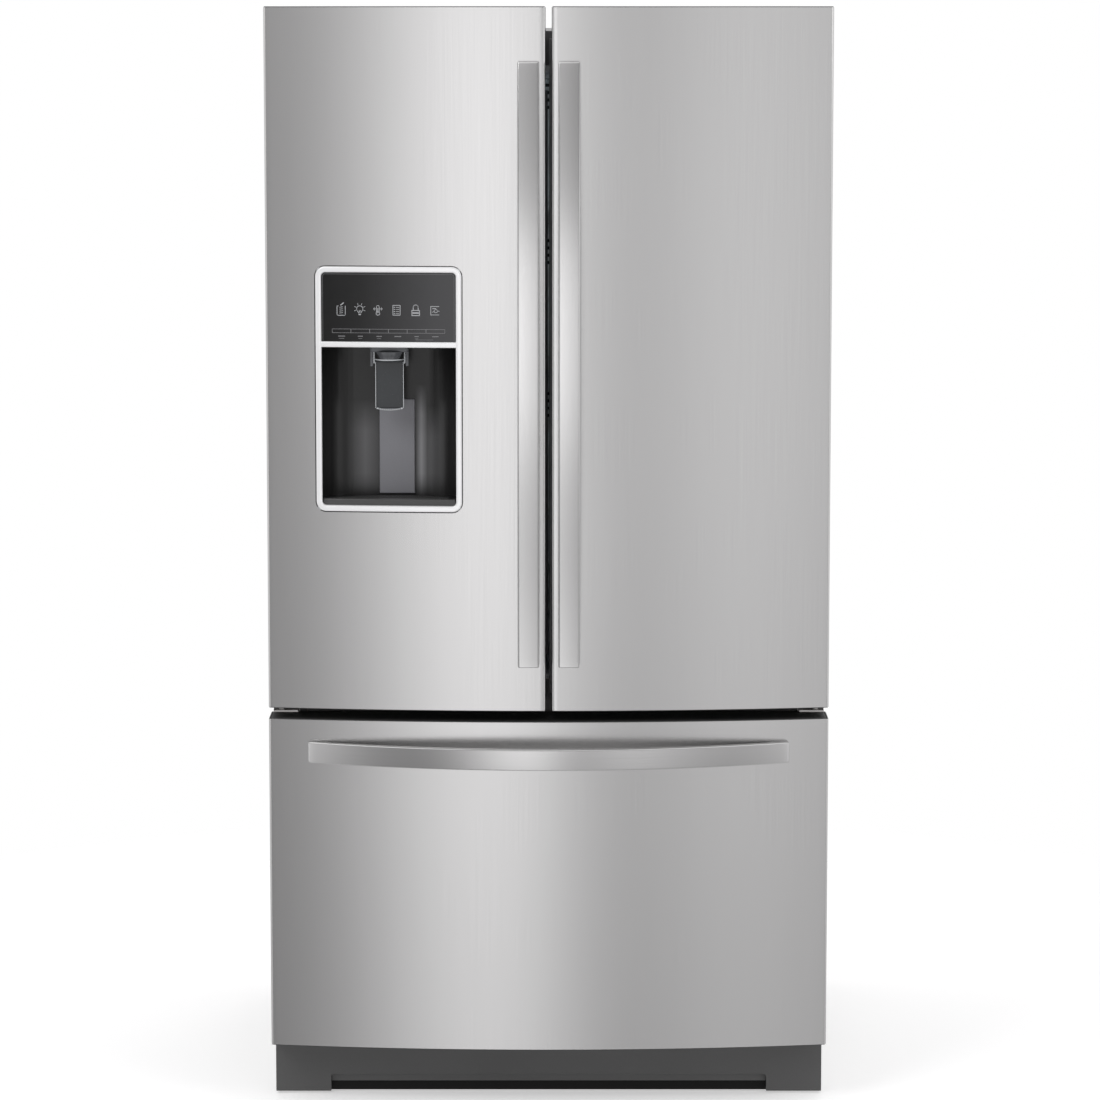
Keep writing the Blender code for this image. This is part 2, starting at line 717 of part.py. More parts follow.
def left_door(on):
    side = -1
    low_x, high_x = door_span(side)
    panel = skin("left_door_skin", low_x, high_x, DOOR_BOTTOM, DOOR_TOP)
    cut(panel, hinge_notch(side, "left_skin_notch"))
    cut(panel, bezel_block("left_skin_window", GROOVE, cutters))
    hang(panel, on)
    liner = door_liner(side, "left_door_liner")
    cut(liner, pocket(side, "left_lower_pocket", DYKE_LOW, LOWER_POCKET_TOP))
    cut(liner, pocket(side, "left_upper_pocket", UPPER_POCKET_BOTTOM, DYKE_HIGH))
    cut(liner, bezel_block("left_core_window", GROOVE, cutters))
    cut(liner, housing_pocket())
    for name, low, high in (("upper", MULLION_HIGH + 0.002, None), ("lower", None, MULLION_LOW - 0.002)):
        low = high - 0.012 if low is None else low
        high = low + 0.012 if high is None else high
        fuse(liner, mullion_tab(name, low, high))
    cut(liner, mullion_pin("mullion_holes", 0.0036, cutters, 0.03))
    hang(liner, on)
    hang(upper_gasket(side, "left_door_gasket"), on)
    hang(upright_handle("left_door_handle", side), on)
    for piece in (dispenser_bezel, dispenser_panel, dispenser_housing, dispenser_nozzle, drip_tray):
        hang(piece(), on)
    hang(door_bin(side, "left_door_bin", DYKE_LOW + 0.060), on)
    dyke_low_x, dyke_high_x = dyke_span(side)
    inset = DYKE_WALL + 0.0005
    low = (dyke_low_x + inset, DOOR_BACK + 0.0005, UPPER_POCKET_BOTTOM + 0.0005)
    high = (dyke_high_x - inset, DOOR_BACK + BIN_DEPTH, DYKE_HIGH - 0.055)
    hang(white_plastic(tub("ice_bin", low, high, 0.003)), on)


def right_door(on):
    side = 1
    low_x, high_x = door_span(side)
    panel = skin("right_door_skin", low_x, high_x, DOOR_BOTTOM, DOOR_TOP)
    cut(panel, hinge_notch(side, "right_skin_notch"))
    hang(panel, on)
    liner = door_liner(side, "right_door_liner")
    cut(liner, pocket(side, "right_pocket", DYKE_LOW, DYKE_HIGH))
    hang(liner, on)
    hang(upper_gasket(side, "right_door_gasket"), on)
    hang(upright_handle("right_door_handle", side), on)
    clear = (DYKE_HIGH - DYKE_LOW) / 3
    for i, level in enumerate(("lower", "middle", "upper")):
        hang(door_bin(side, f"right_door_bin_{level}", DYKE_LOW + 0.060 + clear * i), on)


def mullion_pin(name, radius, home, extra):
    centre = (MULLION_X, MULLION_Y, (MULLION_LOW + MULLION_HIGH) / 2)
    return rod(name, centre, radius, MULLION_HIGH - MULLION_LOW + extra, sides=16, home=home)


def mullion_tab(name, low, high):
    low_x = -DOOR_INNER - DYKE_FREE - 0.004
    corner = (low_x, MULLION_Y - 0.008, low)
    return box(f"mullion_tab_{name}", corner, (MULLION_X + 0.007, MULLION_Y + 0.008, high), cutters)


def flip_mullion(on):
    """The bar that the doors' seals meet at the middle, up to the far door's edge."""
    outline = [
        (MULLION_X - 0.006, CABINET_FRONT + 0.0015),
        (-0.0015, CABINET_FRONT + 0.0015),
        (-0.0025, CABINET_FRONT + 0.018),
        (MULLION_X - 0.006, CABINET_FRONT + 0.020),
    ]
    bar = prism("flip_mullion", outline, MULLION_LOW, MULLION_HIGH)
    fuse(bar, mullion_pin("mullion_pin", 0.003, cutters, 0.024))
    painted(bar)
    return hang(bar, on)


def freezer_drawer(on):
    half = HALF_SPAN
    hang(skin("freezer_skin", -half, half, DRAWER_BOTTOM, DRAWER_TOP), on)
    liner = core("freezer_drawer_liner", -half, half, DRAWER_BOTTOM, DRAWER_TOP)
    inner = CAVITY - LINER - DYKE_CLEAR
    low, high = FREEZER_FLOOR + DYKE_CLEAR, FREEZER_CEILING - DYKE_CLEAR
    panel = box("freezer_inner_panel", (-inner, DOOR_BACK - 0.01, low), (inner, DRAWER_INNER, high), cutters)
    fuse(liner, panel)
    hang(white_plastic(liner), on)
    side = HALF_SPAN - GASKET_SIDE
    ring_low, ring_high = DRAWER_BOTTOM + GASKET_EDGE, DRAWER_TOP - GASKET_EDGE
    hang(gasket("freezer_gasket", (-side, ring_low), (side, ring_high)), on)
    hang(drawer_handle(), on)
    hang(drawer_carrier(), on)
    hang(freezer_basket(), on)


def freezer_slide(side, name):
    """A channel on the freezer's side wall, open towards the drawer."""
    low_x, high_x = mirrored(side, LIP_X, SLIDE_OUTER)
    front = CABINET_FRONT + 0.020
    back = SLIDE_BACK
    made = box(name, (low_x, front, SLIDE_LOW), (high_x, back, SLIDE_LOW + SLIDE_HEIGHT))
    low_x, high_x = mirrored(side, LIP_X - 0.01, SLIDE_OUTER - 0.003)
    low = (low_x, front - 0.01, SLIDE_LOW + 0.0025)
    high = (high_x, back + 0.01, SLIDE_LOW + SLIDE_HEIGHT - 0.0025)
    return zinc(cut(made, box(name + "_channel", low, high, cutters)))


def drawer_carrier():
    """Two rails joined by a tie across their back ends."""
    front = DRAWER_INNER + FIT
    back = SLIDE_BACK - RAIL_CLEAR
    made = box("drawer_carrier", (RAIL_INNER, front, RAIL_LOW), (RAIL_OUTER, back, RAIL_HIGH))
    other = box("carrier_rail_left", (-RAIL_OUTER, front, RAIL_LOW), (-RAIL_INNER, back, RAIL_HIGH), cutters)
    fuse(made, other)
    reach = RAIL_INNER + 0.005
    tie = box("carrier_tie", (-reach, back - 0.010, RAIL_LOW), (reach, back - 0.002, RAIL_HIGH), cutters)
    return zinc(fuse(made, tie))


def freezer_basket():
    top = RAIL_HIGH + FIT + 0.003
    half = RAIL_INNER - 0.004
    front = DRAWER_INNER + 0.006
    low = (-half, front, top - BASKET_HEIGHT)
    made = box("freezer_basket", low, (half, BASKET_BACK, top))
    rim_half = LIP_X - 0.001
    rim = box("basket_rim", (-rim_half, front, top - 0.003), (rim_half, BASKET_BACK, top), cutters)
    fuse(made, rim)
    inner_low = (-half + BIN_WALL, front + BIN_WALL, top - BASKET_HEIGHT + BIN_WALL)
    inner_high = (half - BIN_WALL, BASKET_BACK - BIN_WALL, top + 0.02)
    cut(made, box("basket_inside", inner_low, inner_high, cutters))
    return white_plastic(made)


def cabinet_wrapper():
    """The painted sheet round the top and sides, with a flange turned in at the front."""
    low = (-HALF_CABINET, CABINET_FRONT, CABINET_BOTTOM)
    made = box("cabinet_wrapper", low, (HALF_CABINET, BACK, CABINET_TOP))
    half = HALF_CABINET - SHEET
    low = (-half, CABINET_FRONT + SHEET, CABINET_BOTTOM - 0.02)
    cut(made, box("wrapper_inside", low, (half, BACK + 0.02, CABINET_TOP - SHEET), cutters))
    low = (-CAVITY, CABINET_FRONT - 0.02, CABINET_BOTTOM - 0.02)
    cut(made, box("wrapper_mouth", low, (CAVITY, CABINET_FRONT + 0.02, FRIDGE_CEILING), cutters))
    return painted(made)


def freezer_profile(grow):
    """The freezer's side view: its floor rises at the back over the machine compartment."""
    front = CABINET_FRONT + INNER - (0.02 if grow > 0 else -FIT)
    low, high = FREEZER_FLOOR - grow, FREEZER_CEILING + grow
    return [
        (front, low),
        (STEP_Y + grow, low),
        (STEP_Y + grow, STEP_Z - grow),
        (CAVITY_BACK + grow, STEP_Z - grow),
        (CAVITY_BACK + grow, high),
        (front, high),
    ]


def cabinet_insulation():
    half = HALF_CABINET - INNER
    low = (-half, CABINET_FRONT + INNER, CABINET_BOTTOM + FIT)
    made = box("cabinet_insulation", low, (half, BACK - INNER, CABINET_TOP - INNER))
    low = (-CAVITY, CABINET_FRONT - 0.02, FRIDGE_FLOOR)
    cut(made, box("fridge_space", low, (CAVITY, CAVITY_BACK, FRIDGE_CEILING), cutters))
    cut(made, prism("freezer_space", freezer_profile(FIT), -CAVITY, CAVITY, "YZ", cutters))
    side = HALF_CABINET - MACHINE_SIDE
    low = (-side, BACK - MACHINE_DEPTH, CABINET_BOTTOM - 0.02)
    cut(made, box("machine_space", low, (side, BACK + 0.02, MACHINE_TOP), cutters))
    return finish(made, (0.8, 0.74, 0.55), 0.9)


def fridge_liner():
    half = CAVITY - FIT
    front = CABINET_FRONT + INNER
    low = (-half, front, FRIDGE_FLOOR + FIT)
    made = box("fridge_liner", low, (half, CAVITY_BACK - FIT, FRIDGE_CEILING - FIT))
    low = (-half + LINER, front - 0.02, FRIDGE_FLOOR + FIT + LINER)
    high = (half - LINER, CAVITY_BACK - FIT - LINER, FRIDGE_CEILING - FIT - LINER)
    return white_plastic(cut(made, box("fridge_liner_inside", low, high, cutters)))


def freezer_liner():
    half = CAVITY - FIT
    made = prism("freezer_liner", freezer_profile(0.0), -half, half, "YZ")
    inner = [(y - 0.02 if i in (0, 5) else y, z) for i, (y, z) in enumerate(freezer_profile(-LINER))]
    cut(made, prism("freezer_liner_inside", inner, -half + LINER, half - LINER, "YZ", cutters))
    return white_plastic(made)


def front_rail():
    """The steel strip between the two compartments."""
    half = CAVITY - FIT
    low = (-half, CABINET_FRONT, FREEZER_CEILING)
    return painted(box("front_rail", low, (half, CABINET_FRONT + SHEET, FRIDGE_FLOOR)))


def back_panel():
    half = HALF_CABINET - INNER
    low = (-half, BACK - SHEET, MACHINE_TOP + 0.001)
    return painted(box("back_panel", low, (half, BACK, CABINET_TOP - INNER)))


def machine_cover():
    """The board over the machine compartment, with rows of air slots."""
    half = HALF_CABINET - INNER
    low = (-half, BACK - SHEET, CABINET_BOTTOM + 0.003)
    made = box("machine_cover", low, (half, BACK, MACHINE_TOP - 0.001))
    columns = 4
    pitch = (2 * half - 0.1) / columns
    for column in range(columns):
        x = pitch * (column - (columns - 1) / 2)
        for row in range(4):
            z = CABINET_BOTTOM + 0.075 + 0.030 * row
            low = (x - AIR_SLOT / 2, BACK - 0.01, z)
            high = (x + AIR_SLOT / 2, BACK + 0.01, z + 0.008)
            cut(made, box(f"air_slot_{column}_{row}", low, high, cutters))
    return finish(made, (0.3, 0.3, 0.3), 0.7)


def top_hinge(side, name):
    """A plate on the cabinet's top whose arm reaches over the door and carries a pin."""
    low = CABINET_TOP + FIT
    start = CABINET_FRONT + 0.004
    outer = HALF_CABINET - 0.004
    low_x, high_x = mirrored(side, outer - HINGE_BASE_WIDTH, outer)
    made = box(name, (low_x, start, low), (high_x, start + HINGE_BASE_DEPTH, low + PLATE))
    x = side * PIN_X
    arm = box(name + "_arm", (x - ARM_HALF, PIN_Y, low), (x + ARM_HALF, start + 0.01, low + PLATE), cutters)
    fuse(made, arm)
    fuse(made, rod(name + "_end", (x, PIN_Y, low + PLATE / 2), ARM_HALF, PLATE, sides=24, home=cutters))
    foot = CABINET_TOP - PIN_LENGTH + 0.002
    middle = (foot + low + PLATE / 2) / 2
    length = low + PLATE / 2 - foot
    fuse(made, rod(name + "_pin", (x, PIN_Y, middle), PIN_RADIUS, length, sides=24, home=cutters))
    return zinc(made)


def hinge_cover(side, name):
    outer = HALF_CABINET - 0.001
    start = CABINET_FRONT + 0.001
    low = CABINET_TOP + FIT
    low_x, high_x = mirrored(side, outer - HINGE_BASE_WIDTH - 0.008, outer)
    far = start + HINGE_BASE_DEPTH + 0.008
    made = rounded(box(name, (low_x, start, low), (high_x, far, low + COVER_HEIGHT)), 0.004)
    low_x, high_x = mirrored(side, outer - HINGE_BASE_WIDTH - 0.0055, outer - 0.0022)
    inside = box(
        name + "_inside", (low_x, start + 0.0022, low - 0.01), (high_x, far - 0.0022, low + 0.023), cutters
    )
    cut(made, inside)
    x = side * PIN_X
    slot_low = (x - ARM_HALF - 0.001, start - 0.01, low - 0.01)
    slot = box(name + "_slot", slot_low, (x + ARM_HALF + 0.001, start + 0.01, low + PLATE + 0.001), cutters)
    return dark_plastic(cut(made, slot))


def centre_hinge(side, name):
    """A bracket on the cabinet's front, in the seam, with a pin up into the door."""
    x = side * PIN_X
    low_x, high_x = mirrored(side, PIN_X - 0.026, PIN_X + 0.0135)
    face = CABINET_FRONT - FIT
    middle = DRAWER_TOP + SEAM / 2
    made = box(name, (low_x, face - PLATE, DRAWER_TOP - 0.006), (high_x, face, DOOR_BOTTOM + 0.006))
    low = (low_x, PIN_Y - 0.012, middle - PLATE / 2)
    fuse(made, box(name + "_plate", low, (high_x, face - PLATE / 2, middle + PLATE / 2), cutters))
    top = DOOR_BOTTOM + PIN_LENGTH - 0.003
    length = top - middle
    fuse(made, rod(name + "_pin", (x, PIN_Y, middle + length / 2), PIN_RADIUS, length, home=cutters))
    return zinc(made)


def base_grille():
    """The kick plate, with a long notch and a lip set back in it."""
    front = DOOR_FRONT + GRILLE_SETBACK
    back = CABINET_FRONT - FIT
    made = box("base_grille", (-HALF_CABINET, front, GRILLE_BOTTOM), (HALF_CABINET, back, GRILLE_TOP))
    half = HALF_CABINET - GRILLE_SHEET
    low = (-half, front + GRILLE_SHEET, GRILLE_BOTTOM - 0.01)
    cut(made, box("grille_inside", low, (half, back + 0.01, GRILLE_TOP - GRILLE_SHEET), cutters))
    notch = HALF_CABINET - NOTCH_TO_END
    low = (-notch, front - 0.01, GRILLE_BOTTOM - 0.01)
    cut(made, box("grille_notch", low, (notch, front + GRILLE_SHEET + 0.001, NOTCH_TOP), cutters))
    lip = front + LIP_SETBACK
    high = (notch, lip + GRILLE_SHEET, GRILLE_TOP - 0.001)
    fuse(made, box("grille_lip", (-notch, lip, LIP_TOP), high, cutters))
    return dark_plastic(made)


def base_pan():
    """The sheet under the cabinet: it carries the compressor, the rollers and the legs."""
    half = HALF_CABINET - INNER
    front = CABINET_FRONT
    floor = CABINET_BOTTOM - FIT
    made = box("base_pan", (-half, front, floor - PAN), (half, BACK - 0.004, floor))
    for side, end in ((-1, "left"), (1, "right")):
        for inner in (-1, 1):
            x = side * ROLLER_X + inner * (ROLLER_WIDTH / 2 + 0.003)
            low = (x - 0.0015, ROLLER_Y - 0.010, ROLLER_RADIUS - 0.010)
            name = f"roller_tab_{end}_{'in' if inner < 0 else 'out'}"
            fuse(made, box(name, low, (x + 0.0015, ROLLER_Y + 0.010, floor - PAN / 2), cutters))
        place = (side * ROLLER_X, ROLLER_Y, ROLLER_RADIUS)
        cut(made, rod(f"axle_hole_{end}", place, AXLE_RADIUS + 0.0006, 0.06, "X", 16, cutters))
        place = (side * LEG_X, LEG_Y, floor)
        cut(made, rod(f"leg_hole_{end}", place, LEG_RADIUS + 0.0006, 0.03, "Z", 16, cutters))
    return zinc(made)


def front_sill():
    """The front strip under the freezer's mouth, part of the wrapper's lower front."""
    half = CAVITY - FIT
    low = (-half, CABINET_FRONT, CABINET_BOTTOM)
    return painted(box("front_sill", low, (half, CABINET_FRONT + SHEET, FREEZER_FLOOR)))


def levelling_leg(side, name):
    x = side * LEG_X
    made = rod(name, (x, LEG_Y, FOOT_HEIGHT / 2), FOOT_RADIUS, FOOT_HEIGHT, sides=24, top=FOOT_RADIUS * 0.8)
    top = CABINET_BOTTOM - 2 * FIT
    low = FOOT_HEIGHT / 2
    fuse(made, rod(name + "_rod", (x, LEG_Y, (low + top) / 2), LEG_RADIUS, top - low, sides=16, home=cutters))
    return zinc(made)


def roller(side, name):
    place = (side * ROLLER_X, ROLLER_Y, ROLLER_RADIUS)
    on = pivot(name + "_axle", place)
    made = rod(name, place, ROLLER_RADIUS, ROLLER_WIDTH, "X", 32)
    axle = rod(name + "_pin", place, AXLE_RADIUS, ROLLER_WIDTH + 0.010, "X", 16, cutters)
    fuse(made, axle)
    black_rubber(made)
    return hang(made, on)


def screw_solid(name, profile, place):
    """A turned solid from a profile given down its outer side."""
    mesh = bpy.data.meshes.new(name)
    bm = bmesh.new()
    last = None
    for radius, z in profile:
        here = bm.verts.new((radius, 0, z))
        if last is not None:
            bm.edges.new((last, here))
        last = here
    bm.to_mesh(mesh)
    bm.free()
    made = bpy.data.objects.new(name, mesh)
    model.objects.link(made)
    made.location = place
    step = made.modifiers.new("turned", "SCREW")
    step.steps = 24
    step.render_steps = 24
    step.use_merge_vertices = True
    step.merge_threshold = 0.0001
    return made


def compressor():
    """A hermetic compressor's domed can on its foot."""
    radius, height, dome = 0.075, 0.185, 0.045
    profile = [(0.0, height)]
    for i in range(1, 6):
        angle = math.pi / 2 * i / 5
        profile.append((radius * math.sin(angle), height - dome + dome * math.cos(angle)))
    profile += [(radius, 0.012), (radius + 0.014, 0.010), (radius + 0.014, 0.0), (0.0, 0.0)]
    made = screw_solid("compressor", profile, (COMPRESSOR_X, COMPRESSOR_Y, MACHINE_FLOOR))
    return finish(made, (0.02, 0.02, 0.022), 0.45)


def condenser():
    """A tube that runs back and forth across the compartment."""
    curve = bpy.data.curves.new("condenser", "CURVE")
    curve.dimensions = "3D"
    curve.bevel_depth = 0.004
    curve.bevel_resolution = 1
    curve.use_fill_caps = True
    spline = curve.splines.new("POLY")
    route = []
    rows, pitch = 7, 0.026
    reach = 0.230
    for row in range(rows):
        z = MACHINE_FLOOR + 0.030 + pitch * row
        ends = (CONDENSER_X, CONDENSER_X + reach)
        near, far = ends if row % 2 == 0 else ends[::-1]
        route += [(near, z), (far, z)]
    spline.points.add(len(route) - 1)
    for point, (x, z) in zip(spline.points, route):
        point.co = (x, COMPRESSOR_Y, z, 1)
    made = bpy.data.objects.new("condenser", curve)
    model.objects.link(made)
    made = solid_from_curve(made, model)
    plates = 2
    for i in range(plates):
        x = CONDENSER_X + 0.020 + (reach - 0.040) * i
        low = (x - 0.001, COMPRESSOR_Y - 0.020, MACHINE_FLOOR)
        high = (x + 0.001, COMPRESSOR_Y + 0.020, MACHINE_FLOOR + 0.205)
        fuse(made, box(f"condenser_plate_{i}", low, high, cutters))
    return finish(made, (0.4, 0.22, 0.12), 0.4, 1.0)


def fan_shroud():
    """A board with a round mouth, and an arm that holds the fan's shaft."""
    low = (FAN_X - 0.001, COMPRESSOR_Y - 0.090, MACHINE_FLOOR)
    high = (FAN_X + 0.001, COMPRESSOR_Y + 0.090, MACHINE_FLOOR + 0.215)
    made = box("fan_shroud", low, high)
    place = (FAN_X, COMPRESSOR_Y, FAN_Z)
    cut(made, rod("fan_mouth", place, FAN_RADIUS + 0.006, 0.02, "X", 32, cutters))
    low = (FAN_X - 0.022, COMPRESSOR_Y - 0.008, MACHINE_FLOOR)
    high = (FAN_X - 0.016, COMPRESSOR_Y + 0.008, FAN_Z + 0.012)
    fuse(made, box("fan_arm", low, high, cutters))
    low = (FAN_X - 0.020, COMPRESSOR_Y - 0.008, MACHINE_FLOOR)
    fuse(made, box("fan_foot", low, (FAN_X, COMPRESSOR_Y + 0.008, MACHINE_FLOOR + 0.004), cutters))
    cut(made, rod("shaft_hole", (FAN_X - 0.02, COMPRESSOR_Y, FAN_Z), 0.0036, 0.02, "X", 16, cutters))
    return finish(made, (0.7, 0.7, 0.68), 0.6)


def condenser_fan():
    place = (FAN_X, COMPRESSOR_Y, FAN_Z)
    on = pivot("fan_axis", place)
    made = rod("condenser_fan", place, 0.018, 0.016, "X", 20)
    shaft_place = (FAN_X - 0.013, COMPRESSOR_Y, FAN_Z)
    fuse(made, rod("fan_shaft", shaft_place, 0.003, 0.024, "X", 12, cutters))
    blades = 5
    for i in range(blades):
        blade = box(f"fan_blade_{i}", (-0.0008, -0.014, 0.010), (0.0008, 0.014, FAN_RADIUS), cutters)
        pitch = Matrix.Rotation(math.radians(32), 4, "Z")
        turn = Matrix.Rotation(math.tau * i / blades, 4, "X")
        blade.matrix_world = Matrix.Translation(place) @ turn @ pitch @ Matrix.Translation(blade.location)
        fuse(made, blade)
    dark_plastic(made)
    return hang(made, on)


def shelf(side, name, z, inner=0.003):
    """A glass plate with a lip along its front."""
    low_x, high_x = mirrored(side, inner, SHELF_HALF)
    made = box(name, (low_x, SHELF_FRONT, z), (high_x, SHELF_BACK, z + SHELF_THICK))
    low = (low_x, SHELF_FRONT - 0.006, z + SHELF_THICK / 2 - SHELF_LIP / 2)
    high = (high_x, SHELF_FRONT + 0.001, z + SHELF_THICK / 2 + SHELF_LIP / 2)
    fuse(made, box(name + "_lip", low, high, cutters))
    return clear_plastic(made)


def shelves():
    room = FRIDGE_CEILING - COVER_Z
    for level, name in enumerate(("lower", "upper")):
        z = COVER_Z + room * (level + 1) / 3
        shelf(-1, f"shelf_{name}_left", z)
        shelf(1, f"shelf_{name}_right", z)
    low = (-SHELF_HALF, SHELF_FRONT, COVER_Z)
    cover = box("crisper_cover", low, (SHELF_HALF, SHELF_BACK, COVER_Z + SHELF_THICK))
    clear_plastic(cover)


def crisper(side, name):
    low_x, high_x = mirrored(side, 0.004, SHELF_HALF - 0.003)
    low = (low_x, SHELF_FRONT, CRISPER_FLOOR)
    high = (high_x, SHELF_BACK - 0.040, CRISPER_FLOOR + CRISPER_HEIGHT)
    return clear_plastic(tub(name, low, high))


def evaporator_cover():
    """The panel at the back of the freezer that hides the evaporator, with air slots."""
    half = CAVITY - LINER - 0.004
    back = CAVITY_BACK - LINER - 0.040
    low_z, high_z = STEP_Z + LINER + FIT, FREEZER_CEILING - LINER - FIT
    made = box("evaporator_cover", (-half, back - 0.003, low_z), (half, back, high_z))
    for i in range(3):
        z = high_z - 0.045 + 0.012 * i
        low = (-0.20, back - 0.02, z)
        cut(made, box(f"cold_air_slot_{i}", low, (0.20, back + 0.02, z + 0.006), cutters))
    return white_plastic(made)


def build():
    cabinet_wrapper()
    cabinet_insulation()
    fridge_liner()
    freezer_liner()
    front_rail()
    front_sill()
    back_panel()
    machine_cover()
    base_grille()
    base_pan()
    compressor()
    condenser()
    fan_shroud()
    condenser_fan()
    shelves()
    evaporator_cover()
    for side, end in ((-1, "left"), (1, "right")):
        top_hinge(side, f"hinge_top_{end}")
        hinge_cover(side, f"hinge_cover_{end}")
        centre_hinge(side, f"hinge_centre_{end}")
        levelling_leg(side, f"levelling_leg_{end}")
        roller(side, f"roller_{end}")
        crisper(side, f"crisper_{end}")
        freezer_slide(side, f"freezer_slide_{end}")
    left = pivot("left_door_pivot", (-PIN_X, PIN_Y, DOOR_BOTTOM))
    left_door(left)
    flip_mullion(pivot("flip_mullion_pivot", (MULLION_X, MULLION_Y, MULLION_LOW), left))
    dispenser_paddle(pivot("paddle_pivot", (BEZEL_X, PADDLE_Y, PADDLE_Z), left))
    right_door(pivot("right_door_pivot", (PIN_X, PIN_Y, DOOR_BOTTOM)))
    freezer_drawer(pivot("freezer_drawer_slide", (0, DOOR_BACK, DRAWER_BOTTOM)))


build()
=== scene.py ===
import math

import bmesh
import bpy
from mathutils import Matrix, Vector


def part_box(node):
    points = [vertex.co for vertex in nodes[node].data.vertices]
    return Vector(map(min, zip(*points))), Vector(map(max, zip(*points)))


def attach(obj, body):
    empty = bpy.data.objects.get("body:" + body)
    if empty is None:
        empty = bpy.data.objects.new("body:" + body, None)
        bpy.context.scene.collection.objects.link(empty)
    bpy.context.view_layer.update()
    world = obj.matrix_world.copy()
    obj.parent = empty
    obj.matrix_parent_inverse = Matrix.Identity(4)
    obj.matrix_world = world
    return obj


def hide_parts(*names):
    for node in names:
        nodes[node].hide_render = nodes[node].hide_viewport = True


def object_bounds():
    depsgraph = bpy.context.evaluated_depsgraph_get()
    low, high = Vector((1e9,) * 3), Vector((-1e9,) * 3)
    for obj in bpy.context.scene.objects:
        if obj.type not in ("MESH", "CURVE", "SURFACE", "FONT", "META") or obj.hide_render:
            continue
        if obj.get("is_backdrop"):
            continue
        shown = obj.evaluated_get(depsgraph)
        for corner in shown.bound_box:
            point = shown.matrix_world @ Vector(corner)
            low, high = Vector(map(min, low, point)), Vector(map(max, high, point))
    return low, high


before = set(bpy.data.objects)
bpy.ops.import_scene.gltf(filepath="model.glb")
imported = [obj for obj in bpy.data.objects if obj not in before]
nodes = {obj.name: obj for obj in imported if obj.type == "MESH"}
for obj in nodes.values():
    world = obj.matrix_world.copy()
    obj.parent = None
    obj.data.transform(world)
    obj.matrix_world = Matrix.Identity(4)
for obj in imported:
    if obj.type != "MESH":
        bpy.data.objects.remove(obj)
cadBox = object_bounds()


# shader helpers
class Value:
    # one socket of a node tree, which can be used in sums
    def __init__(self, tree, socket):
        self.tree = tree
        self.socket = socket

    def maths(self, operation, first, second=0.0):
        return self.tree.add("ShaderNodeMath", {"operation": operation}, {0: first, 1: second})

    def __add__(self, other):
        return self.maths("ADD", self, other)

    def __radd__(self, other):
        return self.maths("ADD", other, self)

    def __sub__(self, other):
        return self.maths("SUBTRACT", self, other)

    def __rsub__(self, other):
        return self.maths("SUBTRACT", other, self)

    def __mul__(self, other):
        return self.maths("MULTIPLY", self, other)

    def __rmul__(self, other):
        return self.maths("MULTIPLY", other, self)

    def __truediv__(self, other):
        return self.maths("DIVIDE", self, other)


class NodeTree:
    def __init__(self, tree):
        self.tree = tree
        self.tree.nodes.clear()

    def add(self, kind, settings=None, inputs=None, output=0):
        node = self.tree.nodes.new(kind)
        for key, value in (settings or {}).items():
            if key == "stops":
                self.setStops(node.color_ramp, value)
            else:
                setattr(node, key, value)
        for key, value in (inputs or {}).items():
            if isinstance(value, Value):
                self.tree.links.new(value.socket, node.inputs[key])
            else:
                node.inputs[key].default_value = value
        return Value(self, node.outputs[output]) if len(node.outputs) else node

    def setStops(self, ramp, stops):
        while len(ramp.elements) < len(stops):
            ramp.elements.new(1.0)
        for element, (place, tone) in zip(ramp.elements, stops):
            element.position = place
            element.color = (tone, tone, tone, 1.0)

    def blendColour(self, factor, first, second):
        return self.add("ShaderNodeMix", {"data_type": "RGBA"}, {0: factor, 6: first, 7: second}, 2)

    def place(self, axis=None):
        spot = self.add("ShaderNodeTexCoord", output="Object")
        if axis is None:
            return spot
        return self.add("ShaderNodeSeparateXYZ", None, {0: spot}, axis)

    def noise(self, scale, stretch=(1, 1, 1), detail=3.0, shift=(0, 0, 0)):
        inputs = {"Vector": self.place(), "Location": shift, "Scale": stretch}
        spot = self.add("ShaderNodeMapping", None, inputs)
        return self.add("ShaderNodeTexNoise", None, {"Vector": spot, "Scale": scale, "Detail": detail})

    def between(self, value, low, high):
        # 0 below low and 1 above high
        settings = {"clamp": True}
        return self.add("ShaderNodeMapRange", settings, {"Value": value, "From Min": low, "From Max": high})


def grey(tone, warm=0.0):
    return (tone * (1 + warm), tone, tone * (1 - warm), 1.0)


def surface(name, base, rough, metal=0.0, height=None, bump=0.2, depth=0.0002, fixed=None, alpha=None):
    # a finished material from a function that gives its colour, and one that gives its roughness
    material = bpy.data.materials.new(name)
    material.use_nodes = True
    tree = NodeTree(material.node_tree)
    inputs = {"Base Color": base(tree), "Roughness": rough(tree), "Metallic": metal}
    if height is not None:
        relief = {"Height": height(tree), "Strength": bump, "Distance": depth}
        inputs["Normal"] = tree.add("ShaderNodeBump", None, relief)
    if alpha is not None:
        inputs["Alpha"] = alpha(tree)
    inputs.update(fixed or {})
    shader = tree.add("ShaderNodeBsdfPrincipled", None, inputs)
    tree.add("ShaderNodeOutputMaterial", None, {"Surface": shader})
    return material


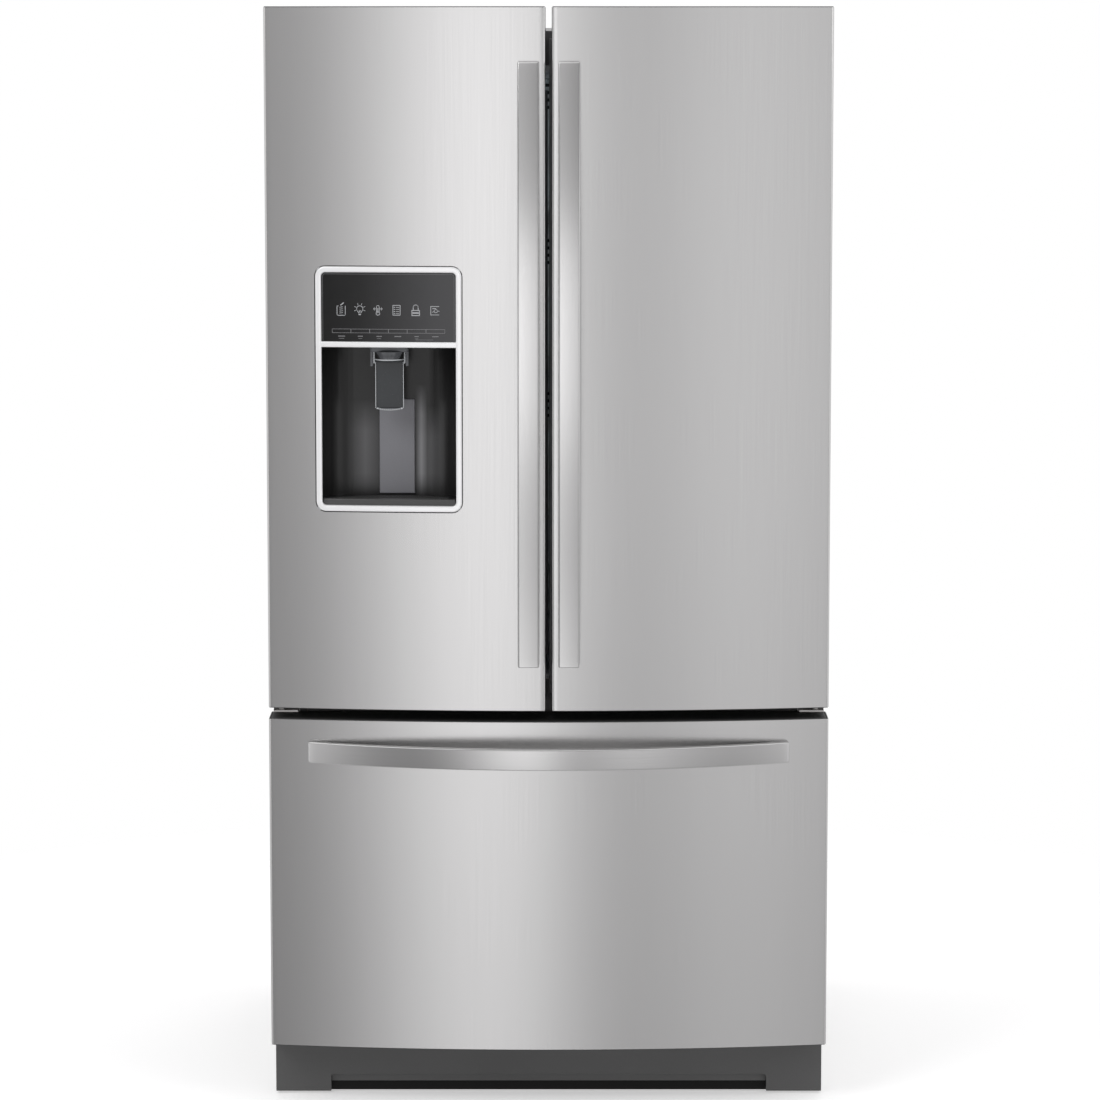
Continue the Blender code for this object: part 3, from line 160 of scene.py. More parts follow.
# materials
def brushedSteel(name, stretch, tone=0.72, rough=0.235, relief=0.05):
    # grain is long one way and fine across, with a slower cloudiness under it
    def base(tree):
        grain = tree.noise(1.0, stretch, 4.0)
        cloud = tree.noise(3.0, (1, 1, 0.4), 2.0)
        mix = tree.between(grain * 0.9 + cloud * 0.1, 0.25, 0.75)
        return tree.blendColour(mix, grey(tone * 0.965, 0.004), grey(tone * 1.025, 0.004))

    def roughness(tree):
        return tree.noise(1.0, stretch, 4.0, (3, 7, 1)) * 0.05 + (rough - 0.025)

    def height(tree):
        return tree.noise(1.0, stretch, 3.0, (5, 2, 9))

    return surface(name, base, roughness, 1.0, height, relief, 0.0001)


def plainMetal(name, tone, rough, warm=0.0, scale=60.0, relief=0.15):
    def base(tree):
        spots = tree.between(tree.noise(scale, (1, 1, 1), 5.0), 0.35, 0.65)
        return tree.blendColour(spots, grey(tone * 0.85, warm), grey(tone * 1.1, warm))

    def roughness(tree):
        return tree.noise(scale * 2, (1, 1, 1), 4.0) * 0.2 + (rough - 0.1)

    return surface(name, base, roughness, 1.0, lambda tree: tree.noise(scale * 8), relief, 0.0002)


def paint(name, colour, rough, grainScale=700.0, relief=0.35, spread=0.08, fixed=None):
    # moulded or painted skin: fine pebbled grain with a faint change of tone
    dark = tuple(c * (1 - spread) for c in colour[:3]) + (1.0,)
    light = tuple(min(1.0, c * (1 + spread)) for c in colour[:3]) + (1.0,)

    def base(tree):
        slow = tree.noise(4.0, (1, 1, 1), 3.0)
        fine = tree.noise(grainScale, (1, 1, 1), 2.0)
        return tree.blendColour(tree.between(slow * 0.7 + fine * 0.3, 0.35, 0.65), dark, light)

    def roughness(tree):
        return tree.noise(grainScale * 0.5, (1, 1, 1), 2.0) * 0.12 + (rough - 0.06)

    return surface(name, base, roughness, 0.0, lambda tree: tree.noise(grainScale), relief, 0.0002, fixed)


def clearPlastic(name, colour, low, high, rough=0.12):
    # clear moulding: faint streaks from the mould, and an opacity that changes with noise
    def base(tree):
        streak = tree.noise(9.0, (1, 1, 6), 3.0)
        return tree.blendColour(streak, colour, tuple(min(1, c * 1.06) for c in colour[:3]) + (1.0,))

    def alpha(tree):
        return tree.noise(14.0, (1, 1, 3), 3.0) * (high - low) + low

    def roughness(tree):
        return tree.noise(40.0) * 0.08 + rough

    return surface(name, base, roughness, 0.0, lambda tree: tree.noise(300.0), 0.05, 0.0002, None, alpha)


def litRecess():
    # dark moulding with three soft lighter patches in its colour, which are painted light: pools of light
    # painted onto the moulding that fade out upwards
    paintedLightPatches = ((-0.297, 0.031, 0.13, 1.15), (-0.2065, 0.010, 0.3, 1.175), (-0.19, 0.024, 0.1, 1.14))

    def base(tree):
        x, z = tree.place(0), tree.place(2)
        lit = 0.0
        for middle, half, strength, top in paintedLightPatches:
            across = tree.between((x - middle).maths("ABSOLUTE", x - middle), half, 0.0)
            upwards = tree.between(z, top, top - 0.05) * tree.between(z, 0.99, 1.03)
            lit = across * upwards * strength + lit
        fine = tree.noise(900.0) * 0.004 + 0.016
        dull = lit * 0.96 + fine
        return tree.add("ShaderNodeCombineColor", None, {0: dull, 1: dull, 2: lit + fine})

    def roughness(tree):
        return tree.noise(450.0) * 0.1 + 0.25

    return surface("recessPlasticWithPaintedLight", base, roughness, 0.0, lambda tree: tree.noise(900.0), 0.06, 0.0002)


def touchGlass():
    # black glass whose colour lightens from the left to the right
    def base(tree):
        fade = tree.between(tree.place(0), -0.30, -0.17)
        fine = tree.noise(60.0) * 0.15
        return tree.blendColour(fade + fine, grey(0.004), (0.036, 0.036, 0.039, 1))

    def roughness(tree):
        return tree.noise(30.0) * 0.05 + 0.08

    return surface("panelGlass", base, roughness, 0.0, lambda tree: tree.noise(60.0), 0.01, 0.0002)


uprightGrain = (1500, 1500, 5.0)
levelGrain = (5.0, 5.0, 1500)
steelDoor = brushedSteel("steelDoor", uprightGrain)
steelBar = brushedSteel("steelBar", uprightGrain, 0.74, 0.2, 0.04)
steelLevelBar = brushedSteel("steelLevelBar", levelGrain, 0.7, 0.24, 0.1)
# a clear coat, and a painted glow: the white emission makes the trim glow though it is no lamp
coatAndPaintedGlow = {
    "Coat Weight": 0.6,
    "Metallic": 0.2,
    "Emission Color": (1.0, 1.0, 1.0, 1),
    "Emission Strength": 0.12,
}
brightTrim = paint("brightTrim", (0.93, 0.93, 0.94, 1), 0.22, 120.0, 0.01, 0.015, coatAndPaintedGlow)
capPlastic = paint("capPlastic", grey(0.06), 0.45)
cabinetPaint = paint("cabinetPaint", grey(0.13, 0.01), 0.42, 900.0, 0.5)
paintedShadeBlack = paint("paintedShadeBlack", grey(0.004), 0.9, 900.0, 0.2)
grillePaint = paint("grillePaint", grey(0.088, 0.0), 0.5, 500.0, 0.3)
whiteLiner = paint("whiteLiner", (0.82, 0.84, 0.85, 1), 0.32, 350.0, 0.12, 0.02)
whiteTrim = paint("whiteTrim", (0.74, 0.76, 0.78, 1), 0.38, 500.0, 0.1, 0.02)
gasketRubber = paint("gasketRubber", (0.34, 0.34, 0.35, 1), 0.62, 900.0, 0.4)
darkPlastic = paint("darkPlastic", grey(0.022), 0.34, 800.0, 0.2)
panelGlass = touchGlass()
markInk = paint("markInk", (0.52, 0.53, 0.55, 1), 0.5, 2000.0, 0.1)
lineInk = paint("lineInk", (0.27, 0.27, 0.28, 1), 0.5, 2000.0, 0.1)
foamYellow = paint("foamYellow", (0.72, 0.6, 0.36, 1), 0.9, 220.0, 1.0, 0.15)
zincPlate = plainMetal("zincPlate", 0.55, 0.38, 0.02)
blackPaintAndShade = paint("blackPaintAndShade", grey(0.015), 0.4, 400.0, 0.3)
copperTube = plainMetal("copperTube", 0.42, 0.36, 0.45, 90.0)
greyBoard = paint("greyBoard", (0.2, 0.19, 0.18, 1), 0.75, 250.0, 0.8, 0.12)
tyreNylon = paint("tyreNylon", grey(0.03), 0.5, 600.0, 0.4)
clearBin = clearPlastic("clearBin", (0.78, 0.86, 0.9, 1), 0.3, 0.42)
shelfGlass = clearPlastic("shelfGlass", (0.7, 0.85, 0.83, 1), 0.22, 0.3, 0.02)
borderInk = paint("borderInk", (0.16, 0.16, 0.165, 1), 0.4, 2000.0, 0.1)
recessPlasticWithPaintedLight = litRecess()
insertPlastic = paint("insertPlastic", (0.30, 0.30, 0.325, 1), 0.42, 900.0, 0.1)
lipPlastic = paint("lipPlastic", grey(0.085), 0.35, 900.0, 0.1)
nozzlePlastic = paint("nozzlePlastic", (0.13, 0.135, 0.145, 1), 0.2, 900.0, 0.05)
paddlePlastic = paint("paddlePlastic", (0.032, 0.036, 0.04, 1), 0.25, 900.0, 0.05)
softGrey = paint("softGrey", (0.42, 0.43, 0.44, 1), 0.45, 600.0, 0.2)
frostPrint = clearPlastic("frostPrint", (0.85, 0.88, 0.88, 1), 0.5, 0.7, 0.5)
frostClear = clearPlastic("frostClear", (0.8, 0.87, 0.9, 1), 0.55, 0.7, 0.3)
glow = {"Emission Color": (0.95, 0.97, 1.0, 1), "Emission Strength": 7.0}
lampGlow = paint("lampGlow", (0.9, 0.93, 0.96, 1), 0.3, 300.0, 0.1, 0.02, glow)
smokeLens = clearPlastic("smokeLens", (0.3, 0.31, 0.33, 1), 0.75, 0.92, 0.1)
# painted highlight: a light plastic for the rims that stand for light caught on the nozzle's and paddle's
# edges
edgeHighlightPlastic = clearPlastic("edgeHighlightPlastic", (0.62, 0.64, 0.66, 1), 0.9, 0.98, 0.12)
print("materials made:", len(bpy.data.materials))

# the curved front
front = {"crown": 0.034}
drawerLow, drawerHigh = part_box("freezer_skin")
leftLow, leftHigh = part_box("left_door_skin")
rightLow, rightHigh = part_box("right_door_skin")
halfSpan = drawerHigh.x
arcRadius = (halfSpan**2 + front["crown"] ** 2) / (2 * front["crown"])
arcCentre = drawerLow.y + arcRadius


def frontAt(x, proud=0.0):
    return arcCentre - math.sqrt((arcRadius + proud) ** 2 - x * x)


# mesh helpers
def piece(name, bm, body, material, replaced=(), smooth=None):
    # turns a bmesh into a finished piece that rides on a body
    bmesh.ops.recalc_face_normals(bm, faces=bm.faces)
    mesh = bpy.data.meshes.new(name)
    bm.to_mesh(mesh)
    bm.free()
    made = bpy.data.objects.new(name, mesh)
    bpy.context.scene.collection.objects.link(made)
    mesh.materials.append(material)
    if smooth is not None:
        mesh.shade_smooth()
        mesh.set_sharp_from_angle(angle=math.radians(smooth))
        flatter = made.modifiers.new("flatter", "WEIGHTED_NORMAL")
        flatter.keep_sharp = True
    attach(made, body)
    if replaced:
        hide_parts(*replaced)
    return made


def addBlock(bm, low, high, bevel=0.0, segments=2):
    # a block between two corners, with its edges rounded
    size = [h - l for l, h in zip(low, high)]
    middle = Vector([(h + l) / 2 for l, h in zip(low, high)])
    placed = Matrix.Translation(middle) @ Matrix.Diagonal((*size, 1.0))
    made = bmesh.ops.create_cube(bm, size=1.0, matrix=placed)
    if bevel > 0:
        roundEdges(bm, made["verts"], min(bevel, min(size) * 0.45), segments)


def roundEdges(bm, verts, width, segments=2):
    edges = list({edge for vert in verts for edge in vert.link_edges})
    bmesh.ops.bevel(
        bm, geom=edges, offset=width, segments=segments, profile=0.5, affect="EDGES", material=-1,
        clamp_overlap=True
    )


def addRod(bm, centre, radius, length, axis="Z", sides=24, top=None, bevel=0.0):
    quarter = math.pi / 2
    turn = {"X": Matrix.Rotation(quarter, 4, "Y"), "Y": Matrix.Rotation(quarter, 4, "X"), "Z": Matrix()}[axis]
    made = bmesh.ops.create_cone(
        bm,
        cap_ends=True,
        segments=sides,
        radius1=radius,
        radius2=radius if top is None else top,
        depth=length,
        matrix=Matrix.Translation(centre) @ turn,
    )
    if bevel > 0:
        rims = [
            e for v in made["verts"] for e in v.link_edges
            if len(e.link_faces[0].verts) > 4 or len(e.link_faces[-1].verts) > 4
        ]
        bmesh.ops.bevel(
            bm, geom=list(set(rims)), offset=bevel, segments=2, profile=0.5, affect="EDGES", material=-1
        )


def addScrew(bm, centre, radius, axis):
    # a pan head with a cross cut in it
    out = Vector(axis)
    turn = Vector((0, 0, 1)).rotation_difference(out).to_matrix().to_4x4()
    placed = Matrix.Translation(Vector(centre) + out * radius * 0.2) @ turn
    bmesh.ops.create_cone(
        bm, cap_ends=True, segments=20, radius1=radius, radius2=radius * 0.7, depth=radius * 0.4,
        matrix=placed
    )
    for angle in (0, math.pi / 2):
        bar = Matrix.Translation(Vector(centre) + out * radius * 0.41) @ turn @ Matrix.Rotation(angle, 4, "Z")
        bmesh.ops.create_cube(
            bm, size=1.0, matrix=bar @ Matrix.Diagonal((radius, radius * 0.22, radius * 0.06, 1))
        )


def roundedFace(bm, halfWide, low, high, radius, corners=("low", "high"), segments=8, middle=0.0):
    # one flat face in the XZ plane with round corners
    made = bmesh.ops.create_grid(bm, x_segments=1, y_segments=1, size=1.0)
    for vert in made["verts"]:
        vert.co = Vector((middle + halfWide * vert.co.x, 0, low if vert.co.y < 0 else high))
    chosen = [
        v for v in made["verts"]
        if ("low" in corners and v.co.z == low) or ("high" in corners and v.co.z == high)
    ]
    bmesh.ops.bevel(
        bm, geom=chosen, offset=radius, segments=segments, profile=0.5, affect="VERTICES", material=-1
    )
    return bm


def sliceAcross(bm, lowX, highX, step):
    # cuts a mesh into upright strips, so that it can follow a curve
    count = max(1, round((highX - lowX) / step))
    for i in range(1, count):
        everything = bm.verts[:] + bm.edges[:] + bm.faces[:]
        x = lowX + (highX - lowX) * i / count
        bmesh.ops.bisect_plane(bm, geom=everything, dist=1e-7, plane_co=(x, 0, 0), plane_no=(1, 0, 0))


def bendToFront(bm, proud=0.0):
    for vert in bm.verts:
        vert.co.y += frontAt(vert.co.x, proud)


def thicken(bm, depth):
    # pulls flat faces backwards into a closed body
    made = bmesh.ops.extrude_face_region(bm, geom=bm.faces[:])
    moved = [item for item in made["geom"] if isinstance(item, bmesh.types.BMVert)]
    bmesh.ops.translate(bm, vec=(0, depth, 0), verts=moved)


def sharpEdges(bm, angle=35):
    limit = math.radians(angle)
    return [e for e in bm.edges if len(e.link_faces) == 2 and e.calc_face_angle(0) > limit]


def softenSharp(bm, width, segments=2, angle=35):
    bmesh.ops.bevel(
        bm, geom=sharpEdges(bm, angle), offset=width, segments=segments, profile=0.5, affect="EDGES",
        material=-1, clamp_overlap=True
    )


def addStroke(bm, start, end, width, depth=0.0002):
    # a thin bar between two points of the XZ plane
    a, b = Vector((start[0], 0, start[1])), Vector((end[0], 0, end[1]))
    along = (b - a).normalized()
    turn = Matrix.Rotation(-math.atan2(along.z, along.x), 4, "Y")
    placed = Matrix.Translation((a + b) / 2) @ turn
    bmesh.ops.create_cube(
        bm, size=1.0, matrix=placed @ Matrix.Diagonal(((b - a).length + width * 0.6, depth, width, 1))
    )


def addRing(bm, centre, radius, width, start=0.0, end=360.0, steps=14, depth=0.0002):
    for i in range(steps):
        a = math.radians(start + (end - start) * i / steps)
        b = math.radians(start + (end - start) * (i + 1) / steps)
        first = (centre[0] + radius * math.cos(a), centre[1] + radius * math.sin(a))
        second = (centre[0] + radius * math.cos(b), centre[1] + radius * math.sin(b))
        addStroke(bm, first, second, width, depth)


def addFrame(bm, low, high, width):
    corners = [(low[0], low[1]), (high[0], low[1]), (high[0], high[1]), (low[0], high[1])]
    for i, corner in enumerate(corners):
        addStroke(bm, corner, corners[(i + 1) % 4], width)


# camera and studio
cameraSettings = {
    "place": (0.00214, -6.6595, 1.78817),
    "pitchDown": 6.552,
    "lens": 129.35,
    "shiftY": -0.085,
}


def addCamera():
    data = bpy.data.cameras.new("camera")
    data.lens = cameraSettings["lens"]
    data.shift_y = cameraSettings["shiftY"]
    camera = bpy.data.objects.new("camera", data)
    bpy.context.scene.collection.objects.link(camera)
    camera.location = cameraSettings["place"]
    camera.rotation_euler = (math.radians(90 - cameraSettings["pitchDown"]), 0, 0)
    bpy.context.scene.camera = camera


studio = {
    "floorRadius": 2.6,
    "keyPower": 55.0,
    "fillPower": 26.0,
    # brightness of the room by azimuth in degrees: 0 is straight in front, and positive to the right
    "azimuth": (
        (-180, 0.8), (-140, 0.6), (-105, 0.9), (-75, 0.75), (-50, 1.0), (-30, 0.3), (-21, 0.25), (-17, 0.36),
        (-12, 0.84), (-7, 1.44), (-3, 1.6), (0.4, 1.24), (2.4, 0.34), (6, 0.36), (12, 0.9), (18, 0.84),
        (22, 0.66), (34, 0.45), (55, 1.05), (75, 0.75), (105, 0.9), (140, 0.6), (180, 0.8),
    ),
    # and by elevation in degrees
    "elevation": (
        (-90, 0.6), (-40, 0.9), (-28, 0.75), (-22, 0.6), (-15, 0.62), (-12, 0.76), (-8, 1.0), (4, 1.02),
        (8, 0.46),
        (20, 0.4), (45, 0.95), (90, 1.0),
    ),
}


def addStudio():
    world = bpy.data.worlds.new("studio")
    bpy.context.scene.world = world
    world.use_nodes = True
    tree = NodeTree(world.node_tree)
    direction = tree.add("ShaderNodeTexCoord", output="Generated")
    x, y, z = [tree.add("ShaderNodeSeparateXYZ", None, {0: direction}, axis) for axis in range(3)]
    turned = x.maths("ARCTAN2", x, y * -1.0) / math.tau + 0.5
    raised = z.maths("ARCSINE", z) / math.pi + 0.5
    byAzimuth = [((angle + 180) / 360, tone * 0.6) for angle, tone in studio["azimuth"]]
    byElevation = [((angle + 90) / 180, tone) for angle, tone in studio["elevation"]]
    around = tree.add("ShaderNodeValToRGB", {"stops": byAzimuth}, {0: turned})
    upwards = tree.add("ShaderNodeValToRGB", {"stops": byElevation}, {0: raised})
    room = around * upwards * (1 / 0.6)
    tint = tree.add("ShaderNodeCombineColor", None, {0: room * 1.0, 1: room * 0.992, 2: room * 1.0})
    lit = tree.add("ShaderNodeBackground", None, {"Color": tint, "Strength": 1.0})
    plain = tree.add("ShaderNodeBackground", None, {"Color": (1, 1, 1, 1), "Strength": 1.0})
    seen = tree.add("ShaderNodeLightPath", output="Is Camera Ray")
    mixed = tree.add("ShaderNodeMixShader", None, {0: seen, 1: lit, 2: plain})
    tree.add("ShaderNodeOutputWorld", None, {"Surface": mixed})
    for name, place, size, power in (
        ("key", (-2.6, -3.4, 3.9), 2.2, studio["keyPower"]),
        ("fill", (3.2, -2.6, 3.0), 2.6, studio["fillPower"]),
        ("back", (0.6, 3.6, 3.6), 2.4, studio["fillPower"]),
    ):
        data = bpy.data.lights.new(name, "AREA")
        data.energy = power
        data.size = size
        lamp = bpy.data.objects.new(name, data)
        bpy.context.scene.collection.objects.link(lamp)
        lamp.location = place
        aim = Vector((0, 0, 0.9)) - Vector(place)
        lamp.rotation_euler = aim.to_track_quat("-Z", "Y").to_euler()


def addFloor():
    # a pale floor that fades out into the background
    bm = bmesh.new()
    bmesh.ops.create_circle(bm, cap_ends=True, segments=96, radius=studio["floorRadius"])
    mesh = bpy.data.meshes.new("floor")
    bm.to_mesh(mesh)
    bm.free()
    floor = bpy.data.objects.new("floor", mesh)
    bpy.context.scene.collection.objects.link(floor)
    material = bpy.data.materials.new("floorPaint")
    material.use_nodes = True
    tree = NodeTree(material.node_tree)
    away = tree.add("ShaderNodeVectorMath", {"operation": "LENGTH"}, {0: tree.place()}, "Value")
    fade = tree.between(away, studio["floorRadius"] * 0.22, studio["floorRadius"] * 0.75)
    pale = {
        "Base Color": (0.9, 0.9, 0.9, 1), "Roughness": 0.8, "Emission Color": (1, 1, 1, 1),
        "Emission Strength": 0.42
    }
    shader = tree.add("ShaderNodeBsdfPrincipled", None, pale)
    clear = tree.add("ShaderNodeBsdfTransparent")
    mixed = tree.add("ShaderNodeMixShader", None, {0: fade, 1: shader, 2: clear})
    tree.add("ShaderNodeOutputMaterial", None, {"Surface": mixed})
    mesh.materials.append(material)
    floor.visible_glossy = False
    floor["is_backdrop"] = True


addCamera()
addStudio()
addFloor()
bpy.context.scene.view_settings.view_transform = "Standard"
print("studio ready")

# CAD nodes that stay
carried = {
    "cabinetPaint": ["cabinet_wrapper", "front_rail", "front_sill", "back_panel", "flip_mullion"],
    "foamYellow": ["cabinet_insulation"],
    "whiteLiner": [
        "fridge_liner", "freezer_liner", "left_door_liner", "right_door_liner", "freezer_drawer_liner"
    ],
    "whiteTrim": ["ice_bin", "freezer_basket", "evaporator_cover"],
    "clearBin": ["left_door_bin", "right_door_bin_lower", "right_door_bin_middle", "right_door_bin_upper",
                 "crisper_left", "crisper_right"],
    "shelfGlass": [
        "shelf_lower_left", "shelf_lower_right", "shelf_upper_left", "shelf_upper_right",
        "crisper_cover"
    ],
    "gasketRubber": ["left_door_gasket", "right_door_gasket", "freezer_gasket"],
    "darkPlastic": [
        "dispenser_housing", "drip_tray", "condenser_fan", "hinge_cover_left", "hinge_cover_right"
    ],
    "grillePaint": ["base_grille"],
    "zincPlate": ["hinge_top_left", "hinge_top_right", "hinge_centre_left", "hinge_centre_right", "base_pan",
                  "levelling_leg_left", "levelling_leg_right", "freezer_slide_left", "freezer_slide_right",
                  "drawer_carrier"],
    "blackPaintAndShade": ["compressor"],
    "copperTube": ["condenser"],
    "greyBoard": ["fan_shroud", "machine_cover"],
    "tyreNylon": ["roller_left", "roller_right"],
    "smokeLens": ["dispenser_nozzle"],
}


def dress(nodeName, material):
    node = nodes[nodeName]
    node.data.materials.clear()
    node.data.materials.append(material)


for materialName, nodeNames in carried.items():
    for nodeName in nodeNames:
        dress(nodeName, bpy.data.materials[materialName])
print("CAD nodes dressed:", sum(len(names) for names in carried.values()))

# door and drawer faces
face = {
    "sheet": 0.001,
    "cornerRadius": 0.004,
    "cornerSteps": 4,
    "columnStep": 0.006,
    "holeGap": 0.0014,
    "bezelRound": 0.016,
}
bezelLow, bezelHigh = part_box("dispenser_bezel")
bezelMiddle = (bezelLow.x + bezelHigh.x) / 2


def openRoundedHole(bm, halfWide, low, high, radius):
    # cuts the outline of a round-cornered window and takes out what is inside it
    centres = [(sx, sz) for sx in (-1, 1) for sz in (-1, 1)]
    planes = [((bezelMiddle + sx * halfWide, 0, 0), (sx, 0, 0)) for sx in (-1, 1)]
    planes += [((0, 0, low), (0, 0, -1)), ((0, 0, high), (0, 0, 1))]
    chords = 6
    for sx, sz in centres:
        x = bezelMiddle + sx * (halfWide - radius)
        z = (high - radius) if sz > 0 else (low + radius)
        for i in range(chords):
            angle = math.pi / 2 * (i + 0.5) / chords
            normal = Vector((sx * math.cos(angle), 0, sz * math.sin(angle)))
            reach = radius * math.cos(math.pi / 4 / chords)
            planes.append((Vector((x, 0, z)) + normal * reach, normal))
    margin = 0.03
    for place, normal in planes:
        near = [
            f for f in bm.faces
            if abs(f.calc_center_median().x - bezelMiddle) < halfWide + margin
            and low - margin < f.calc_center_median().z < high + margin
        ]
        parts = near + list({e for f in near for e in f.edges}) + list({v for f in near for v in f.verts})
        bmesh.ops.bisect_plane(bm, geom=parts, dist=1e-7, plane_co=place, plane_no=normal)
    inside = []
    for f in bm.faces:
        centre = f.calc_center_median()
        if all((centre - Vector(place)).dot(Vector(normal)) < 0 for place, normal in planes):
            inside.append(f)
    bmesh.ops.delete(bm, geom=inside, context="FACES")


def faceSheet(name, low, high, body, node, hole=False, notchSide=0):
    # a steel sheet: the curved front, round corners and the two sides
    lowX, highX = low.x, high.x
    radius = face["cornerRadius"]
    outline = [(lowX, high.y)]
    steps = face["cornerSteps"]
    start = frontAt(lowX + radius) + radius
    for i in range(steps):
        angle = math.pi / 2 * i / steps
        outline.append((lowX + radius - radius * math.cos(angle), start - radius * math.sin(angle)))
    columns = round((highX - lowX - 2 * radius) / face["columnStep"])
    for i in range(columns + 1):
        x = lowX + radius + (highX - lowX - 2 * radius) * i / columns
        outline.append((x, frontAt(x)))
    start = frontAt(highX - radius) + radius
    for i in range(steps - 1, -1, -1):
        angle = math.pi / 2 * i / steps
        outline.append((highX - radius + radius * math.cos(angle), start - radius * math.sin(angle)))
    outline.append((highX, high.y))
    bm = bmesh.new()
    corners = [bm.verts.new((x, y, low.z)) for x, y in outline]
    edges = [bm.edges.new(pair) for pair in zip(corners, corners[1:])]
    made = bmesh.ops.extrude_edge_only(bm, edges=edges)
    raised = [item for item in made["geom"] if isinstance(item, bmesh.types.BMVert)]
    bmesh.ops.translate(bm, vec=(0, 0, high.z - low.z), verts=raised)
    bmesh.ops.recalc_face_normals(bm, faces=bm.faces)
    if hole:
        gap = face["holeGap"]
        openRoundedHole(
            bm, (bezelHigh.x - bezelLow.x) / 2 + gap, bezelLow.z - gap, bezelHigh.z + gap,
            face["bezelRound"] + gap
        )
    if notchSide:
        cutNotch(bm, notchSide, high)
    bmesh.ops.recalc_face_normals(bm, faces=bm.faces)
    middle = min(bm.faces, key=lambda f: abs(f.calc_center_median().x - (lowX + highX) / 2))
    if middle.normal.y > 0:
        bmesh.ops.reverse_faces(bm, faces=bm.faces)
    bmesh.ops.solidify(bm, geom=bm.faces[:], thickness=face["sheet"])
    return piece(name, bm, body, steelDoor, [node], 40)


notch = {"width": 0.055, "forward": 0.0555, "below": 0.040, "wall": 0.0006, "capGap": 0.0015}


def cutNotch(bm, side, high):
    # the upper outer corner is open for the top hinge's arm
    inner = side * (halfSpan - notch["width"])
    frontY = leftHigh.y - notch["forward"]
    level = high.z - notch["below"]
    for place, normal in (((0, frontY, 0), (0, 1, 0)), ((0, 0, level), (0, 0, 1))):
        everything = bm.verts[:] + bm.edges[:] + bm.faces[:]
        bmesh.ops.bisect_plane(bm, geom=everything, dist=1e-7, plane_co=place, plane_no=normal)
    gone = []
    for f in bm.faces:
        centre = f.calc_center_median()
        if side * (centre.x - inner) > 0 and centre.y > frontY and centre.z > level:
            gone.append(f)
    bmesh.ops.delete(bm, geom=gone, context="FACES")


faceSheet("leftDoorFace", leftLow, leftHigh, "left_door", "left_door_skin", hole=True, notchSide=-1)
faceSheet("rightDoorFace", rightLow, rightHigh, "right_door", "right_door_skin", notchSide=1)
faceSheet("drawerFace", drawerLow, drawerHigh, "freezer_drawer", "freezer_skin")

cap = {"thick": 0.0012, "inset": 0.0012, "rimWidth": 0.0022, "step": 0.012, "backGap": 0.0002}


def endCap(name, low, high, level, up, body, notchSide=0):
    # a plastic cap between a door's steel sides, which leaves the hinge corner open
    bm = bmesh.new()
    lowX, highX = low.x + cap["inset"], high.x - cap["inset"]
    radius = face["cornerRadius"]
    outline = []
    count = round((highX - lowX) / cap["step"])
    for i in range(count + 1):
        x = lowX + (highX - lowX) * i / count
        beyond = max(0.0, radius - (x - low.x), radius - (high.x - x))
        outline.append((x, frontAt(x) + cap["inset"] + radius - math.sqrt(radius * radius - beyond * beyond)))
    back = high.y - cap["backGap"]
    notchFront = leftHigh.y - notch["forward"] - 0.001
    inner = halfSpan - notch["width"] - notch["capGap"]
    if notchSide > 0:
        outline += [(highX, notchFront), (inner, notchFront), (inner, back), (lowX, back)]
    elif notchSide < 0:
        outline += [(highX, back), (-inner, back), (-inner, notchFront), (lowX, notchFront)]
    else:
        outline += [(highX, back), (lowX, back)]
    bm.faces.new([bm.verts.new((x, y, level)) for x, y in outline])
    made = bmesh.ops.extrude_face_region(bm, geom=bm.faces[:])
    moved = [item for item in made["geom"] if isinstance(item, bmesh.types.BMVert)]
    bmesh.ops.translate(bm, vec=(0, 0, up * cap["thick"]), verts=moved)
    top = [f for f in bm.faces if abs(f.calc_center_median().z - level - up * cap["thick"]) < 1e-6]
    bmesh.ops.recalc_face_normals(bm, faces=bm.faces)
    sunk = -cap["thick"] * 0.6
    bmesh.ops.inset_region(bm, faces=top, thickness=cap["rimWidth"], depth=sunk, use_even_offset=True)
    return piece(name, bm, body, capPlastic)


def hingePocket(name, side, high, body):
    # dark walls of the open corner where the top hinge's arm enters the door
    bm = bmesh.new()
    wall, tall = notch["wall"], notch["below"]
    front, back, top = leftHigh.y - notch["forward"], high.y - 0.0005, high.z + cap["thick"]
    inner, outer = side * (halfSpan - notch["width"]), side * (halfSpan - 0.0004)
    facing = inner + side * wall
    addBlock(bm, (min(inner, facing), front, top - tall), (max(inner, facing), back, top))
    floor = high.z - tall
    addBlock(bm, (min(facing, outer), front, floor), (max(facing, outer), back, floor + wall))
    piece(name, bm, body, capPlastic)


hingePocket("leftHingePocket", -1, leftHigh, "left_door")
hingePocket("rightHingePocket", 1, rightHigh, "right_door")
endCap("leftDoorTopCap", leftLow, leftHigh, leftHigh.z, 1, "left_door", -1)
endCap("leftDoorBottomCap", leftLow, leftHigh, leftLow.z, -1, "left_door")
endCap("rightDoorTopCap", rightLow, rightHigh, rightHigh.z, 1, "right_door", 1)
endCap("rightDoorBottomCap", rightLow, rightHigh, rightLow.z, -1, "right_door")
endCap("drawerTopCap", drawerLow, drawerHigh, drawerHigh.z, 1, "freezer_drawer")
endCap("drawerBottomCap", drawerLow, drawerHigh, drawerLow.z, -1, "freezer_drawer")
print("door faces made")

# handles
handle = {
    "thick": 0.014,
    "edge": 0.003,
    "edgeSteps": 3,
    "divisions": 60,
    "end": 0.0168,
    "padLength": 0.032,
    "padSeat": 0.0007,
}


def bowAt(along, half, ends, middle):
    # how far back a bowed bar's face stands at a place along it
    rise = ends - middle
    radius = (half**2 + rise**2) / (2 * rise)
    return middle + radius - math.sqrt(radius**2 - along**2)


